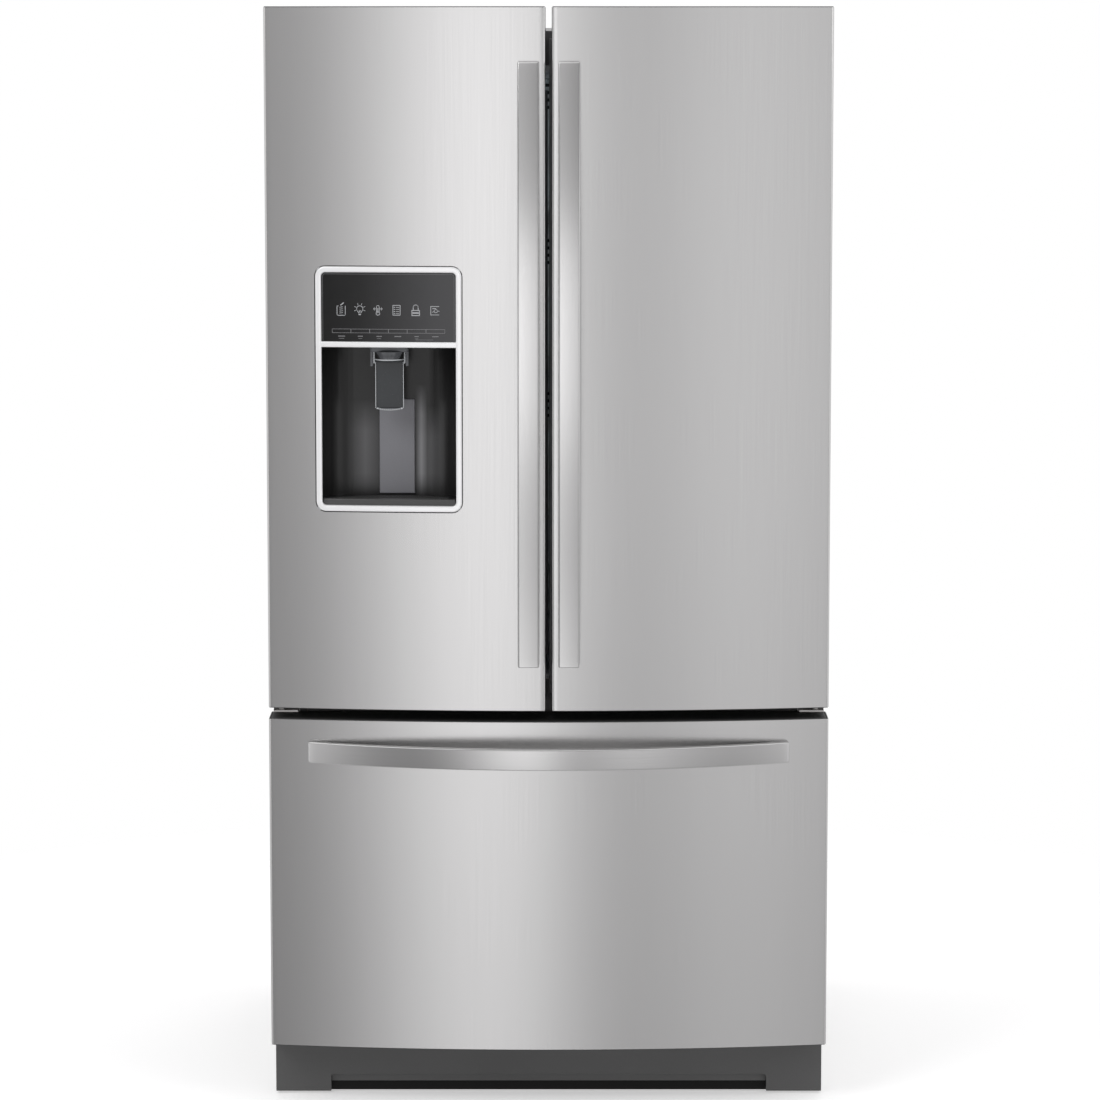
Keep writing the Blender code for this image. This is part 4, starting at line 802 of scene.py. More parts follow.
def uprightBar(name, node, body):
    low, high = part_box(node)
    half, middle = (high.z - low.z) / 2, (high.z + low.z) / 2
    seat = frontAt((low.x + high.x) / 2)
    bm = bmesh.new()
    addBlock(bm, (low.x, 0, low.z), (high.x, handle["thick"], high.z))
    for i in range(1, handle["divisions"]):
        level = low.z + (high.z - low.z) * i / handle["divisions"]
        everything = bm.verts[:] + bm.edges[:] + bm.faces[:]
        bmesh.ops.bisect_plane(bm, geom=everything, dist=1e-7, plane_co=(0, 0, level), plane_no=(0, 0, 1))
    softenSharp(bm, handle["edge"], handle["edgeSteps"], 60)
    for vert in bm.verts:
        vert.co.y += bowAt(min(half, abs(vert.co.z - middle)), half, seat - handle["end"], low.y)
    inset = handle["edge"] * 1.2
    for start in (low.z, high.z - handle["padLength"]):
        corner = (low.x + inset, seat - handle["end"] + 0.004, start + inset)
        far = (high.x - inset, seat - handle["padSeat"], start + handle["padLength"] - inset)
        addBlock(bm, corner, far, 0.0012, 2)
    return piece(name, bm, body, steelBar, [node], 20)


def levelBar(name, node, body):
    low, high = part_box(node)
    half = (high.x - low.x) / 2
    seat = frontAt(half)
    bm = bmesh.new()
    addBlock(bm, (low.x, 0, low.z), (high.x, handle["thick"], high.z))
    sliceAcross(bm, low.x, high.x, (high.x - low.x) / handle["divisions"])
    softenSharp(bm, handle["edge"], handle["edgeSteps"], 60)
    for vert in bm.verts:
        vert.co.y += bowAt(min(half, abs(vert.co.x)), half, seat - handle["end"], low.y)
    inset = handle["edge"] * 1.2
    for start in (low.x, high.x - handle["padLength"]):
        corner = (start + inset, seat - handle["end"] + 0.004, low.z + inset)
        seatY = frontAt(half - handle["padLength"]) - handle["padSeat"]
        far = (start + handle["padLength"] - inset, seatY, high.z - inset)
        addBlock(bm, corner, far, 0.0012, 2)
    return piece(name, bm, body, steelLevelBar, [node], 20)


uprightBar("leftHandle", "left_door_handle", "left_door")
uprightBar("rightHandle", "right_door_handle", "right_door")
levelBar("drawerHandle", "freezer_handle", "freezer_drawer")
print("handles made")

# ice and water dispenser
trim = {"band": 0.0095, "round": 0.016, "proud": 0.0015, "depth": 0.009, "edge": 0.0026, "slice": 0.008}
panelLow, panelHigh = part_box("dispenser_panel")
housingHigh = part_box("dispenser_housing")[1]
nozzleLow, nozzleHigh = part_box("dispenser_nozzle")
paddleLow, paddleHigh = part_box("dispenser_paddle")
trayLow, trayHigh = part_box("drip_tray")
openHalf = (bezelHigh.x - bezelLow.x) / 2 - trim["band"]
openHigh = housingHigh.z - 0.004
stripHigh = panelLow.z - 0.0003
faceMiddle = frontAt(bezelMiddle)


def makeBezel():
    bm = bmesh.new()
    half = (bezelHigh.x - bezelLow.x) / 2
    roundedFace(bm, half, bezelLow.z, bezelHigh.z, trim["round"], segments=10, middle=bezelMiddle)
    window = bm.faces[:]
    bmesh.ops.inset_region(bm, faces=window, thickness=trim["band"], use_boundary=True, use_even_offset=True)
    bmesh.ops.delete(bm, geom=window, context="FACES")
    thicken(bm, trim["depth"] + trim["proud"])
    bmesh.ops.recalc_face_normals(bm, faces=bm.faces)
    rims = [e for e in sharpEdges(bm, 60) if all(abs(v.co.y) < 1e-6 for v in e.verts)]
    bmesh.ops.bevel(
        bm, geom=rims, offset=trim["edge"], segments=4, profile=0.5, affect="EDGES", material=-1,
        clamp_overlap=True
    )
    sliceAcross(bm, bezelLow.x, bezelHigh.x, trim["slice"])
    bendToFront(bm, trim["proud"])
    piece("bezelFrame", bm, "left_door", brightTrim, ["dispenser_bezel"], 50)
    # painted shade: a thin near-black ring behind the window's edge, so the gap round the bezel reads dark as
    # if in shadow
    shade = bmesh.new()
    roundedFace(
        shade, half + 0.004, bezelLow.z - 0.004, bezelHigh.z + 0.004, 0.020, segments=10,
        middle=bezelMiddle
    )
    window = shade.faces[:]
    bmesh.ops.inset_region(shade, faces=window, thickness=0.006, use_boundary=True, use_even_offset=True)
    bmesh.ops.delete(shade, geom=window, context="FACES")
    thicken(shade, 0.00015)
    sliceAcross(shade, bezelLow.x - 0.004, bezelHigh.x + 0.004, trim["slice"])
    bendToFront(shade, -0.0011)
    piece("bezelShadowGap", shade, "left_door", blackPaintAndShade)
    strip = bmesh.new()
    corner = (bezelMiddle - openHalf - 0.0015, -0.0006, openHigh)
    addBlock(strip, corner, (bezelMiddle + openHalf + 0.0015, 0.008, stripHigh), 0.0018, 3)
    sliceAcross(strip, corner[0], bezelMiddle + openHalf, trim["slice"])
    bendToFront(strip)
    piece("bezelStrip", strip, "left_door", brightTrim, smooth=50)


def makePanel():
    bm = bmesh.new()
    half = openHalf - 0.0003
    roundedFace(bm, half, panelLow.z, panelHigh.z, 0.0062, ("high",), 8, bezelMiddle)
    thicken(bm, 0.005)
    bmesh.ops.recalc_face_normals(bm, faces=bm.faces)
    rims = [e for e in sharpEdges(bm, 60) if all(abs(v.co.y) < 1e-6 for v in e.verts)]
    bmesh.ops.bevel(bm, geom=rims, offset=0.0008, segments=2, profile=0.5, affect="EDGES", material=-1)
    sliceAcross(bm, bezelMiddle - half, bezelMiddle + half, trim["slice"])
    bendToFront(bm, 0.0004)
    piece("controlPanel", bm, "left_door", panelGlass, ["dispenser_panel"], 20)
    border = bmesh.new()
    inset = 0.0022
    high = panelHigh.z - inset
    left, right = bezelMiddle - half + inset, bezelMiddle + half - inset
    corner = 0.0042
    addStroke(border, (left, panelLow.z + 0.001), (left, high - corner), 0.0007)
    addStroke(border, (right, panelLow.z + 0.001), (right, high - corner), 0.0007)
    addStroke(border, (left + corner, high), (right - corner, high), 0.0007)
    addRing(border, (left + corner, high - corner), corner, 0.0007, 90, 180, 6)
    addRing(border, (right - corner, high - corner), corner, 0.0007, 0, 90, 6)
    sliceAcross(border, left, right, trim["slice"])
    bendToFront(border, 0.0005)
    piece("panelBorder", border, "left_door", borderInk)


icons = {
    "level": 1.302, "line": 0.00085, "size": 1.2,
    "places": (-0.3307, -0.3009, -0.2719, -0.2421, -0.2115, -0.1809)
}


def drawGlass(bm, x, z, w):
    addStroke(bm, (x - 0.0055, z + 0.005), (x - 0.0055, z - 0.0062), w)
    addStroke(bm, (x + 0.0055, z + 0.005), (x + 0.0055, z - 0.0062), w)
    addStroke(bm, (x - 0.0045, z - 0.0075), (x + 0.0045, z - 0.0075), w)
    addRing(bm, (x - 0.0043, z - 0.0063), 0.0012, w, 180, 270, 3)
    addRing(bm, (x + 0.0043, z - 0.0063), 0.0012, w, 270, 360, 3)
    addStroke(bm, (x - 0.0055, z + 0.005), (x - 0.0038, z + 0.005), w)
    addStroke(bm, (x - 0.0005, z + 0.0062), (x + 0.0032, z + 0.0092), w * 1.6)
    for level in (0.0032, 0.0006, -0.002, -0.0045):
        addStroke(bm, (x - 0.002, z + level), (x + 0.0022, z + level + 0.0006), w * 0.8)


def drawBulb(bm, x, z, w):
    addRing(bm, (x, z + 0.0012), 0.0042, w, -50, 230, 16)
    addStroke(bm, (x - 0.0024, z - 0.0022), (x - 0.0014, z - 0.0044), w)
    addStroke(bm, (x + 0.0024, z - 0.0022), (x + 0.0014, z - 0.0044), w)
    addStroke(bm, (x - 0.0011, z - 0.0062), (x + 0.0011, z - 0.0062), w * 1.8)
    addStroke(bm, (x - 0.0010, z - 0.0004), (x, z - 0.0036), w * 0.7)
    addStroke(bm, (x + 0.0010, z - 0.0004), (x, z - 0.0036), w * 0.7)
    for angle in range(-20, 201, 44):
        a = math.radians(angle)
        start = (x + 0.0056 * math.cos(a), z + 0.0012 + 0.0056 * math.sin(a))
        end = (x + 0.0076 * math.cos(a), z + 0.0012 + 0.0076 * math.sin(a))
        addStroke(bm, start, end, w * 0.8)


def drawThermometer(bm, x, z, w):
    addRing(bm, (x, z - 0.0046), 0.0024, w * 1.3, 0, 360, 12)
    addStroke(bm, (x, z - 0.004), (x, z + 0.002), w * 1.2)
    addStroke(bm, (x - 0.0018, z - 0.003), (x - 0.0018, z + 0.0042), w)
    addStroke(bm, (x + 0.0018, z - 0.003), (x + 0.0018, z + 0.0042), w)
    addRing(bm, (x, z + 0.0042), 0.0018, w, 0, 180, 6)
    for side in (-1, 1):
        tip = x + side * 0.0058
        addStroke(bm, (x + side * 0.0028, z + 0.0014), (tip, z + 0.0014), w * 0.8)
        addStroke(bm, (tip, z + 0.0014), (tip - side * 0.0014, z + 0.003), w * 0.8)
        addStroke(bm, (tip, z + 0.0014), (tip - side * 0.0014, z - 0.0002), w * 0.8)


def drawList(bm, x, z, w):
    addFrame(bm, (x - 0.0048, z - 0.0068), (x + 0.0048, z + 0.0062), w)
    for level in (0.0036, 0.0008, -0.002, -0.0048):
        addStroke(bm, (x - 0.0033, z + level), (x - 0.0021, z + level), w * 1.1)
        addStroke(bm, (x - 0.0005, z + level), (x + 0.0034, z + level), w * 0.8)


def drawPadlock(bm, x, z, w):
    addFrame(bm, (x - 0.005, z - 0.0072), (x + 0.005, z - 0.0004), w * 1.3)
    addStroke(bm, (x - 0.0036, z - 0.0038), (x + 0.0036, z - 0.0038), w * 2.2)
    addStroke(bm, (x - 0.0033, z), (x - 0.0033, z + 0.0036), w * 1.2)
    addStroke(bm, (x + 0.0033, z), (x + 0.0033, z + 0.0036), w * 1.2)
    addRing(bm, (x, z + 0.0036), 0.0033, w * 1.2, 0, 180, 10)


def drawSettings(bm, x, z, w):
    addStroke(bm, (x - 0.0055, z - 0.0062), (x - 0.0055, z + 0.005), w)
    addStroke(bm, (x - 0.0055, z + 0.005), (x + 0.0052, z + 0.005), w)
    addStroke(bm, (x - 0.0055, z - 0.0062), (x + 0.0052, z - 0.0062), w)
    addStroke(bm, (x - 0.0032, z + 0.0022), (x + 0.0012, z + 0.0022), w * 1.1)
    addRing(bm, (x + 0.0012, z - 0.0012), 0.0022, w, 0, 360, 10)
    addStroke(bm, (x + 0.0034, z - 0.0012), (x + 0.0056, z - 0.0012), w)
    addStroke(bm, (x - 0.0034, z - 0.003), (x - 0.001, z - 0.0012), w * 0.8)


def makeMarks():
    bm = bmesh.new()
    drawings = (drawGlass, drawBulb, drawThermometer, drawList, drawPadlock, drawSettings)
    for x, drawing in zip(icons["places"], drawings):
        first = len(bm.verts)
        drawing(bm, 0.0, 0.0, icons["line"])
        bm.verts.ensure_lookup_table()
        for vert in bm.verts[first:]:
            vert.co.x = vert.co.x * icons["size"] + x
            vert.co.z = vert.co.z * icons["size"] + icons["level"]
    bendToFront(bm, 0.0005)
    piece("panelIcons", bm, "left_door", markInk)
    keys = bmesh.new()
    low, high = (-0.3452, 1.2652), (-0.1652, 1.2712)
    addFrame(keys, low, high, 0.0006)
    for i in range(6):
        width = (high[0] - low[0]) / 6
        if i:
            addStroke(keys, (low[0] + width * i, low[1]), (low[0] + width * i, high[1]), 0.0008)
        middle = low[0] + width * (i + 0.5)
        long = (0.0052, 0.0036, 0.0038, 0.0050, 0.0030, 0.0048)[i]
        addStroke(keys, (middle - long, 1.2598), (middle + long, 1.2598), 0.0013)
        if i not in (3, 5):
            addStroke(keys, (middle - long * 0.8, 1.2562), (middle + long * 0.8, 1.2562), 0.0006)
    addStroke(keys, (-0.2115, 1.2545), (-0.1840, 1.2545), 0.0005)
    sliceAcross(keys, low[0], high[0], trim["slice"])
    bendToFront(keys, 0.0005)
    piece("panelKeys", keys, "left_door", lineInk)


recess = {"corner": 0.05, "wall": 0.0015, "soft": 0.006}


def makeRecess():
    bm = bmesh.new()
    half = openHalf + 0.0022
    low = (bezelMiddle - half, faceMiddle + 0.006, trayLow.z - 0.0002)
    high = (bezelMiddle + half, housingHigh.y - 0.0022, openHigh + 0.0018)
    addBlock(bm, low, high)
    back = [e for e in bm.edges if all(abs(v.co.y - high[1]) < 1e-6 for v in e.verts)
            and abs(e.verts[0].co.x - e.verts[1].co.x) < 1e-6]
    bmesh.ops.bevel(
        bm, geom=back, offset=recess["corner"], segments=16, profile=0.5, affect="EDGES", material=-1
    )
    mouth = [f for f in bm.faces if f.normal.y < -0.9 and f.calc_center_median().y < low[1] + 0.001]
    bmesh.ops.delete(bm, geom=mouth, context="FACES")
    ends = [e for e in bm.edges if len(e.link_faces) == 2 and e.calc_face_angle(0) > 1
            and all(v.co.y > low[1] + 0.03 for v in e.verts)]
    bmesh.ops.bevel(
        bm, geom=ends, offset=recess["soft"], segments=4, profile=0.5, affect="EDGES", material=-1
    )
    sliceAcross(bm, low[0], high[0], trim["slice"])
    for vert in bm.verts:
        if abs(vert.co.y - low[1]) < 1e-5:
            vert.co.y = frontAt(vert.co.x) + 0.0088
    bmesh.ops.remove_doubles(bm, verts=bm.verts[:], dist=0.00002)
    bmesh.ops.reverse_faces(bm, faces=bm.faces)
    bmesh.ops.solidify(bm, geom=bm.faces[:], thickness=recess["wall"])
    bmesh.ops.reverse_faces(bm, faces=bm.faces)
    piece("recessShell", bm, "left_door", recessPlasticWithPaintedLight, ["dispenser_housing"], 50)
    insert = bmesh.new()
    corner = (bezelMiddle - 0.0187, high[1] - 0.0035, low[2] + 0.012)
    addBlock(insert, corner, (bezelMiddle + 0.0387, high[1] - 0.0002, 1.151), 0.0015, 3)
    piece("recessInsert", insert, "left_door", insertPlastic, smooth=50)
    lip = bmesh.new()
    corner = (bezelMiddle - openHalf + 0.001, 0.0092, trayLow.z + 0.0012)
    addBlock(lip, corner, (bezelMiddle + openHalf - 0.001, 0.0235, trayHigh.z + 0.0034), 0.002, 3)
    sliceAcross(lip, corner[0], bezelMiddle + openHalf, trim["slice"])
    bendToFront(lip)
    piece("trayLip", lip, "left_door", lipPlastic, smooth=50)
    grate = bmesh.new()
    for i in range(9):
        y = faceMiddle + 0.030 + 0.0055 * i
        half = openHalf - 0.012 - (0.0008 * i * i if i > 4 else 0.0)
        addBlock(
            grate, (bezelMiddle - half, y, trayHigh.z),
            (bezelMiddle + half, y + 0.0022, trayHigh.z + 0.0016), 0.0006, 2
        )
    piece("trayGrate", grate, "left_door", darkPlastic, smooth=50)


def makeNozzle():
    bm = bmesh.new()
    top = nozzleHigh.z
    addBlock(bm, (nozzleLow.x, nozzleLow.y, top - 0.011), (nozzleHigh.x, nozzleHigh.y, top), 0.004, 4)
    middleY = (nozzleLow.y + nozzleHigh.y) / 2 - 0.002
    addRod(bm, (bezelMiddle, middleY, top - 0.017), 0.0155, 0.013, "Z", 40, 0.0225)
    for side in (-1, 1):
        x = bezelMiddle + side * (nozzleHigh.x - nozzleLow.x) / 2
        inner = x - side * 0.005
        corner = (min(x, inner), nozzleLow.y + 0.012, nozzleLow.z)
        addBlock(bm, corner, (max(x, inner), nozzleLow.y + 0.026, top - 0.008), 0.0012, 2)
    piece("nozzleBody", bm, "left_door", nozzlePlastic, ["dispenser_nozzle"], 50)
    # painted highlight: a light grey rim along the nozzle's lower edge stands for the light caught there
    rim = bmesh.new()
    centre = Vector((bezelMiddle, middleY, top - 0.0232))
    loop = bmesh.ops.create_circle(rim, segments=10, radius=0.0011, matrix=Matrix.Translation(
        centre + Vector((0.0225, 0, 0))) @ Matrix.Rotation(math.pi / 2, 4, "X"))
    edges = list({e for v in loop["verts"] for e in v.link_edges})
    bmesh.ops.spin(rim, geom=loop["verts"] + edges, cent=centre, axis=(0, 0, 1), angle=-math.pi, steps=28)
    bmesh.ops.holes_fill(rim, edges=rim.edges[:], sides=12)
    for side in (-1, 1):
        x = bezelMiddle + side * 0.0245
        addBlock(
            rim, (x - 0.0012, middleY - 0.004, top - 0.030), (x + 0.0012, middleY + 0.004, top - 0.010),
            0.0008, 2
        )
    piece("nozzleRim", rim, "left_door", edgeHighlightPlastic, smooth=50)


paddle = {"half": 0.0222, "thick": 0.0042, "drop": 0.0745, "rim": 0.0010}


def makePaddle():
    bm = bmesh.new()
    y = (paddleLow.y + paddleHigh.y) / 2
    top = paddleHigh.z - 0.003
    low = top - paddle["drop"]
    half, thick = paddle["half"], paddle["thick"] / 2
    addBlock(bm, (bezelMiddle - half, y - thick, low), (bezelMiddle + half, y + thick, top), 0.0016, 3)
    addRod(bm, (bezelMiddle, y, paddleHigh.z - 0.0025), 0.0025, 0.0615, "X", 20)
    piece("paddlePlate", bm, "dispenser_paddle", paddlePlastic, ["dispenser_paddle"], 50)
    # painted highlight: light grey strips along the paddle's sides and round its lower lip stand for the
    # light caught on its edges
    rim = bmesh.new()
    for side in (-1, 1):
        x = bezelMiddle + side * half
        addStroke(rim, (x, low + 0.001), (x, top), paddle["rim"], paddle["thick"] + 0.0012)
    radius, sweep = 0.075, 15.5
    centre = (bezelMiddle, low + radius - 0.0022)
    addRing(rim, centre, radius, 0.0022, 270 - sweep, 270 + sweep, 12, paddle["thick"] + 0.004)
    bmesh.ops.translate(rim, vec=(0, y - 0.002, 0), verts=rim.verts)
    piece("paddleRim", rim, "dispenser_paddle", edgeHighlightPlastic)


makeBezel()
makePanel()
makeMarks()
makeRecess()
makeNozzle()
makePaddle()
print("dispenser made")

# fridge compartment
linerLow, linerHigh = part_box("fridge_liner")
backInside = linerHigh.y - 0.002
ceiling = linerHigh.z - 0.002
shelfNames = ["shelf_lower_left", "shelf_lower_right", "shelf_upper_left", "shelf_upper_right"]
shelfTrim = {"front": 0.010, "height": 0.017, "edge": 0.0035, "railWidth": 0.009, "railHeight": 0.012}


def makeShelfTrims():
    bm = bmesh.new()
    glassMarks = bmesh.new()
    for name in shelfNames:
        low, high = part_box(name)
        middle = (low.z + high.z) / 2
        top = middle + shelfTrim["height"] / 2
        corner = (low.x, low.y - 0.001, top - shelfTrim["height"])
        addBlock(bm, corner, (high.x, low.y + shelfTrim["front"], top + 0.0006), shelfTrim["edge"], 3)
        under = middle - 0.003
        for start in (low.x, high.x - shelfTrim["railWidth"]):
            corner = (start, low.y + 0.006, under - shelfTrim["railHeight"])
            addBlock(bm, corner, (start + shelfTrim["railWidth"], high.y, under), 0.0015, 2)
        corner = (low.x, high.y - 0.012, under - 0.006)
        addBlock(bm, corner, (high.x, high.y, under + 0.0085), 0.002, 2)
        for i in range(3):
            y = low.y + 0.020 + 0.005 * i
            corner = (low.x + 0.012, y, under + 0.0060)
            addBlock(glassMarks, corner, (high.x - 0.012, y + 0.0018, under + 0.0064))
    piece("shelfTrims", bm, "cabinet", whiteTrim, smooth=50)
    piece("shelfPrint", glassMarks, "cabinet", frostPrint)


duct = {
    "half": 0.085, "depth": 0.009, "slots": 4, "slotHalf": 0.058, "slotPitch": 0.013,
    "slotHeight": 0.0055
}
track = {"places": (-0.372, -0.020, 0.020, 0.372), "low": 0.880, "pitch": 0.024, "slot": 0.012}


def makeBackWall():
    # the cold air duct between the shelves, with its slots, and the tracks that carry the shelves
    bays = [(0.884, 1.124), (1.160, 1.398), (1.434, ceiling - 0.012)]
    panels = bmesh.new()
    slots = bmesh.new()
    wall = backInside
    for low, high in bays:
        addBlock(panels, (-duct["half"], wall - duct["depth"], low), (duct["half"], wall, high), 0.004, 3)
        for i in range(duct["slots"]):
            level = high - 0.034 - duct["slotPitch"] * i
            corner = (-duct["slotHalf"], wall - 0.0096, level)
            far = (duct["slotHalf"], wall - 0.0085, level + duct["slotHeight"])
            addBlock(slots, corner, far, 0.0004, 1)
        for x in (-0.070, 0.070):
            corner = (x - 0.004, wall - 0.0105, low + 0.015)
            addBlock(panels, corner, (x + 0.004, wall - 0.008, high - 0.015), 0.001, 2)
    for x in track["places"]:
        corner = (x - 0.006, wall - 0.003, track["low"])
        addBlock(panels, corner, (x + 0.006, wall, ceiling - 0.010), 0.001, 2)
        level = track["low"] + 0.020
        while level < ceiling - 0.03:
            corner = (x - 0.002, wall - 0.0034, level)
            addBlock(slots, corner, (x + 0.002, wall - 0.0028, level + track["slot"]))
            level += track["pitch"]
    piece("coldAirDuct", panels, "cabinet", whiteLiner, smooth=50)
    piece("ductSlots", slots, "cabinet", darkPlastic)


lamp = {
    "half": 0.235, "forward": 0.075, "deep": 0.105, "lensHalf": 0.062, "lensAt": 0.155, "ribs": 9,
    "ribPitch": 0.0135
}
controls = {"half": 0.070, "buttons": 5, "pitch": 0.024, "radius": 0.0065}


def makeCeiling():
    # lamp housing under the liner's roof, its ribbed lenses, and the control strip between them
    near = linerLow.y + lamp["forward"]
    bm = bmesh.new()
    corner = (-lamp["half"], near, ceiling - 0.020)
    addBlock(bm, corner, (lamp["half"], near + lamp["deep"], ceiling), 0.006, 4)
    piece("lampHousing", bm, "cabinet", whiteTrim, smooth=50)
    lens = bmesh.new()
    for x in (-lamp["lensAt"], lamp["lensAt"]):
        corner = (x - lamp["lensHalf"], near + 0.016, ceiling - 0.0226)
        addBlock(lens, corner, (x + lamp["lensHalf"], near + 0.076, ceiling - 0.016), 0.0025, 3)
        for i in range(lamp["ribs"]):
            rib = x - 0.054 + lamp["ribPitch"] * i
            corner = (rib - 0.001, near + 0.020, ceiling - 0.0232)
            addBlock(lens, corner, (rib + 0.001, near + 0.072, ceiling - 0.022), 0.0003, 1)
    piece("lampLens", lens, "cabinet", lampGlow, smooth=50)
    strip = bmesh.new()
    corner = (-controls["half"], near + 0.018, ceiling - 0.0218)
    addBlock(strip, corner, (controls["half"], near + 0.070, ceiling - 0.017), 0.002, 3)
    piece("ceilingControls", strip, "cabinet", darkPlastic, smooth=50)
    buttons = bmesh.new()
    for i in range(controls["buttons"]):
        centre = (-0.048 + controls["pitch"] * i, near + 0.044, ceiling - 0.0222)
        addRod(buttons, centre, controls["radius"], 0.0014, "Z", 24)
    piece("ceilingButtons", buttons, "cabinet", whiteTrim, smooth=40)


crisper = {
    "front": 0.006, "lipOut": 0.010, "ribs": 3, "ribPitch": 0.010, "ribInset": 0.030, "sliderAt": 0.195
}


def makeCrispers():
    # frosted fronts with a finger lip, and the cover's rail with a humidity slider over each drawer
    fronts = bmesh.new()
    lips = bmesh.new()
    for name in ("crisper_left", "crisper_right"):
        low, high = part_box(name)
        near = low.y - crisper["front"]
        corner = (low.x + 0.001, near, low.z + 0.004)
        addBlock(fronts, corner, (high.x - 0.001, low.y, high.z - 0.030), 0.003, 3)
        corner = (low.x, near - crisper["lipOut"], high.z - 0.032)
        addBlock(lips, corner, (high.x, low.y + 0.006, high.z - 0.006), 0.004, 4)
        for i in range(crisper["ribs"]):
            level = low.z + 0.024 + crisper["ribPitch"] * i
            corner = (low.x + crisper["ribInset"], near - 0.0006, level)
            addBlock(lips, corner, (high.x - crisper["ribInset"], near + 0.001, level + 0.0024), 0.0005, 2)
    low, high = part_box("crisper_cover")
    corner = (low.x, low.y - 0.007, low.z - 0.003)
    addBlock(lips, corner, (high.x, low.y + 0.010, high.z + 0.001), 0.003, 3)
    piece("crisperFronts", fronts, "cabinet", frostClear, smooth=50)
    piece("crisperLips", lips, "cabinet", whiteTrim, smooth=50)
    sliders = bmesh.new()
    for x in (-crisper["sliderAt"], crisper["sliderAt"]):
        corner = (x - 0.050, low.y - 0.0078, low.z - 0.0006)
        addBlock(sliders, corner, (x + 0.050, low.y - 0.006, high.z - 0.001), 0.0006, 2)
        corner = (x - 0.008, low.y - 0.012, low.z - 0.0018)
        addBlock(sliders, corner, (x + 0.008, low.y - 0.006, high.z), 0.0015, 3)
    piece("humiditySliders", sliders, "cabinet", softGrey, smooth=50)


mouth = {"width": 0.007, "inset": 0.002, "depth": 0.004}


def makeFlange():
    # the liner's moulded rim round each compartment's mouth
    width, inset = mouth["width"], mouth["inset"]
    for label in ("fridge", "freezer"):
        low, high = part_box(label + "_liner")
        bm = bmesh.new()
        y = low.y + 0.0006
        far = y + mouth["depth"]
        for x in (low.x + inset, high.x - inset - width):
            addBlock(bm, (x, y, low.z + inset), (x + width, far, high.z - inset), 0.0018, 3)
        for z in (low.z + inset, high.z - inset - width):
            addBlock(bm, (low.x + inset, y, z), (high.x - inset, far, z + width), 0.0018, 3)
        piece(label + "MouthRim", bm, "cabinet", whiteLiner, smooth=50)


makeShelfTrims()
makeBackWall()
makeCeiling()
makeCrispers()
makeFlange()
print("fridge inside made")

# door insides
binNames = {
    "left_door": ["left_door_bin"],
    "right_door": ["right_door_bin_lower", "right_door_bin_middle", "right_door_bin_upper"],
}


binTrim = {
    "rimHeight": 0.016, "rimOut": 0.003, "side": 0.004, "ribs": 9, "ribInset": 0.020, "ribHalf": 0.0012
}


def makeBinTrims(body):
    # thicker rims, fluted fronts and the lugs that hang each bin on the dykes
    bm = bmesh.new()
    flutes = bmesh.new()
    for name in binNames[body]:
        low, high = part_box(name)
        corner = (low.x, high.y - 0.004, high.z - binTrim["rimHeight"])
        addBlock(bm, corner, (high.x, high.y + binTrim["rimOut"], high.z + 0.001), 0.003, 3)
        for x in (low.x, high.x - binTrim["side"]):
            corner = (x, low.y + 0.004, high.z - 0.010)
            addBlock(bm, corner, (x + binTrim["side"], high.y, high.z + 0.001), 0.0012, 2)
        for i in range(binTrim["ribs"]):
            span = high.x - low.x - 2 * binTrim["ribInset"]
            x = low.x + binTrim["ribInset"] + span * i / (binTrim["ribs"] - 1)
            corner = (x - binTrim["ribHalf"], high.y - 0.0010, low.z + 0.006)
            addBlock(flutes, corner, (x + binTrim["ribHalf"], high.y + 0.0012, high.z - 0.020), 0.0005, 2)
        for x in (low.x - 0.0075, high.x - 0.0005):
            corner = (x, low.y + 0.006, low.z - 0.010)
            addBlock(bm, corner, (x + 0.008, low.y + 0.030, low.z - 0.0005), 0.002, 2)
    piece(body + "BinRims", bm, body, whiteTrim, smooth=50)
    piece(body + "BinRibs", flutes, body, clearBin, smooth=50)


bead = {"width": 0.005, "sunk": 0.003, "proud": 0.001, "aside": 0.009}


def makeDyke(body, node):
    # a raised bead on the liner, round the bins
    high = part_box(node)[1]
    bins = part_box(binNames[body][0])
    bm = bmesh.new()
    lowX, highX = bins[0].x - bead["aside"], bins[1].x + bead["aside"]
    top, bottom = ceiling - 0.016, linerLow.z + 0.018
    near, far = high.y - bead["sunk"], high.y + bead["proud"]
    for x in (lowX, highX - bead["width"]):
        addBlock(bm, (x, near, bottom), (x + bead["width"], far, top), 0.0015, 3)
    for z in (bottom, top - bead["width"]):
        addBlock(bm, (lowX, near, z), (highX, far, z + bead["width"]), 0.0015, 3)
    piece(body + "LinerBead", bm, body, whiteLiner, smooth=50)


def makeMullionLip():
    # the soft lip on the far door that meets the folding mullion
    low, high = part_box("right_door_gasket")
    bm = bmesh.new()
    addBlock(bm, (0.0008, low.y + 0.0015, low.z), (low.x + 0.002, high.y - 0.0012, high.z), 0.0012, 3)
    piece("mullionLip", bm, "right_door", gasketRubber, smooth=50)


ice = {
    "inset": 0.004, "edge": 0.003, "windowSide": 0.055, "moulds": 7, "mouldPitch": 0.034,
    "mouldWidth": 0.020
}


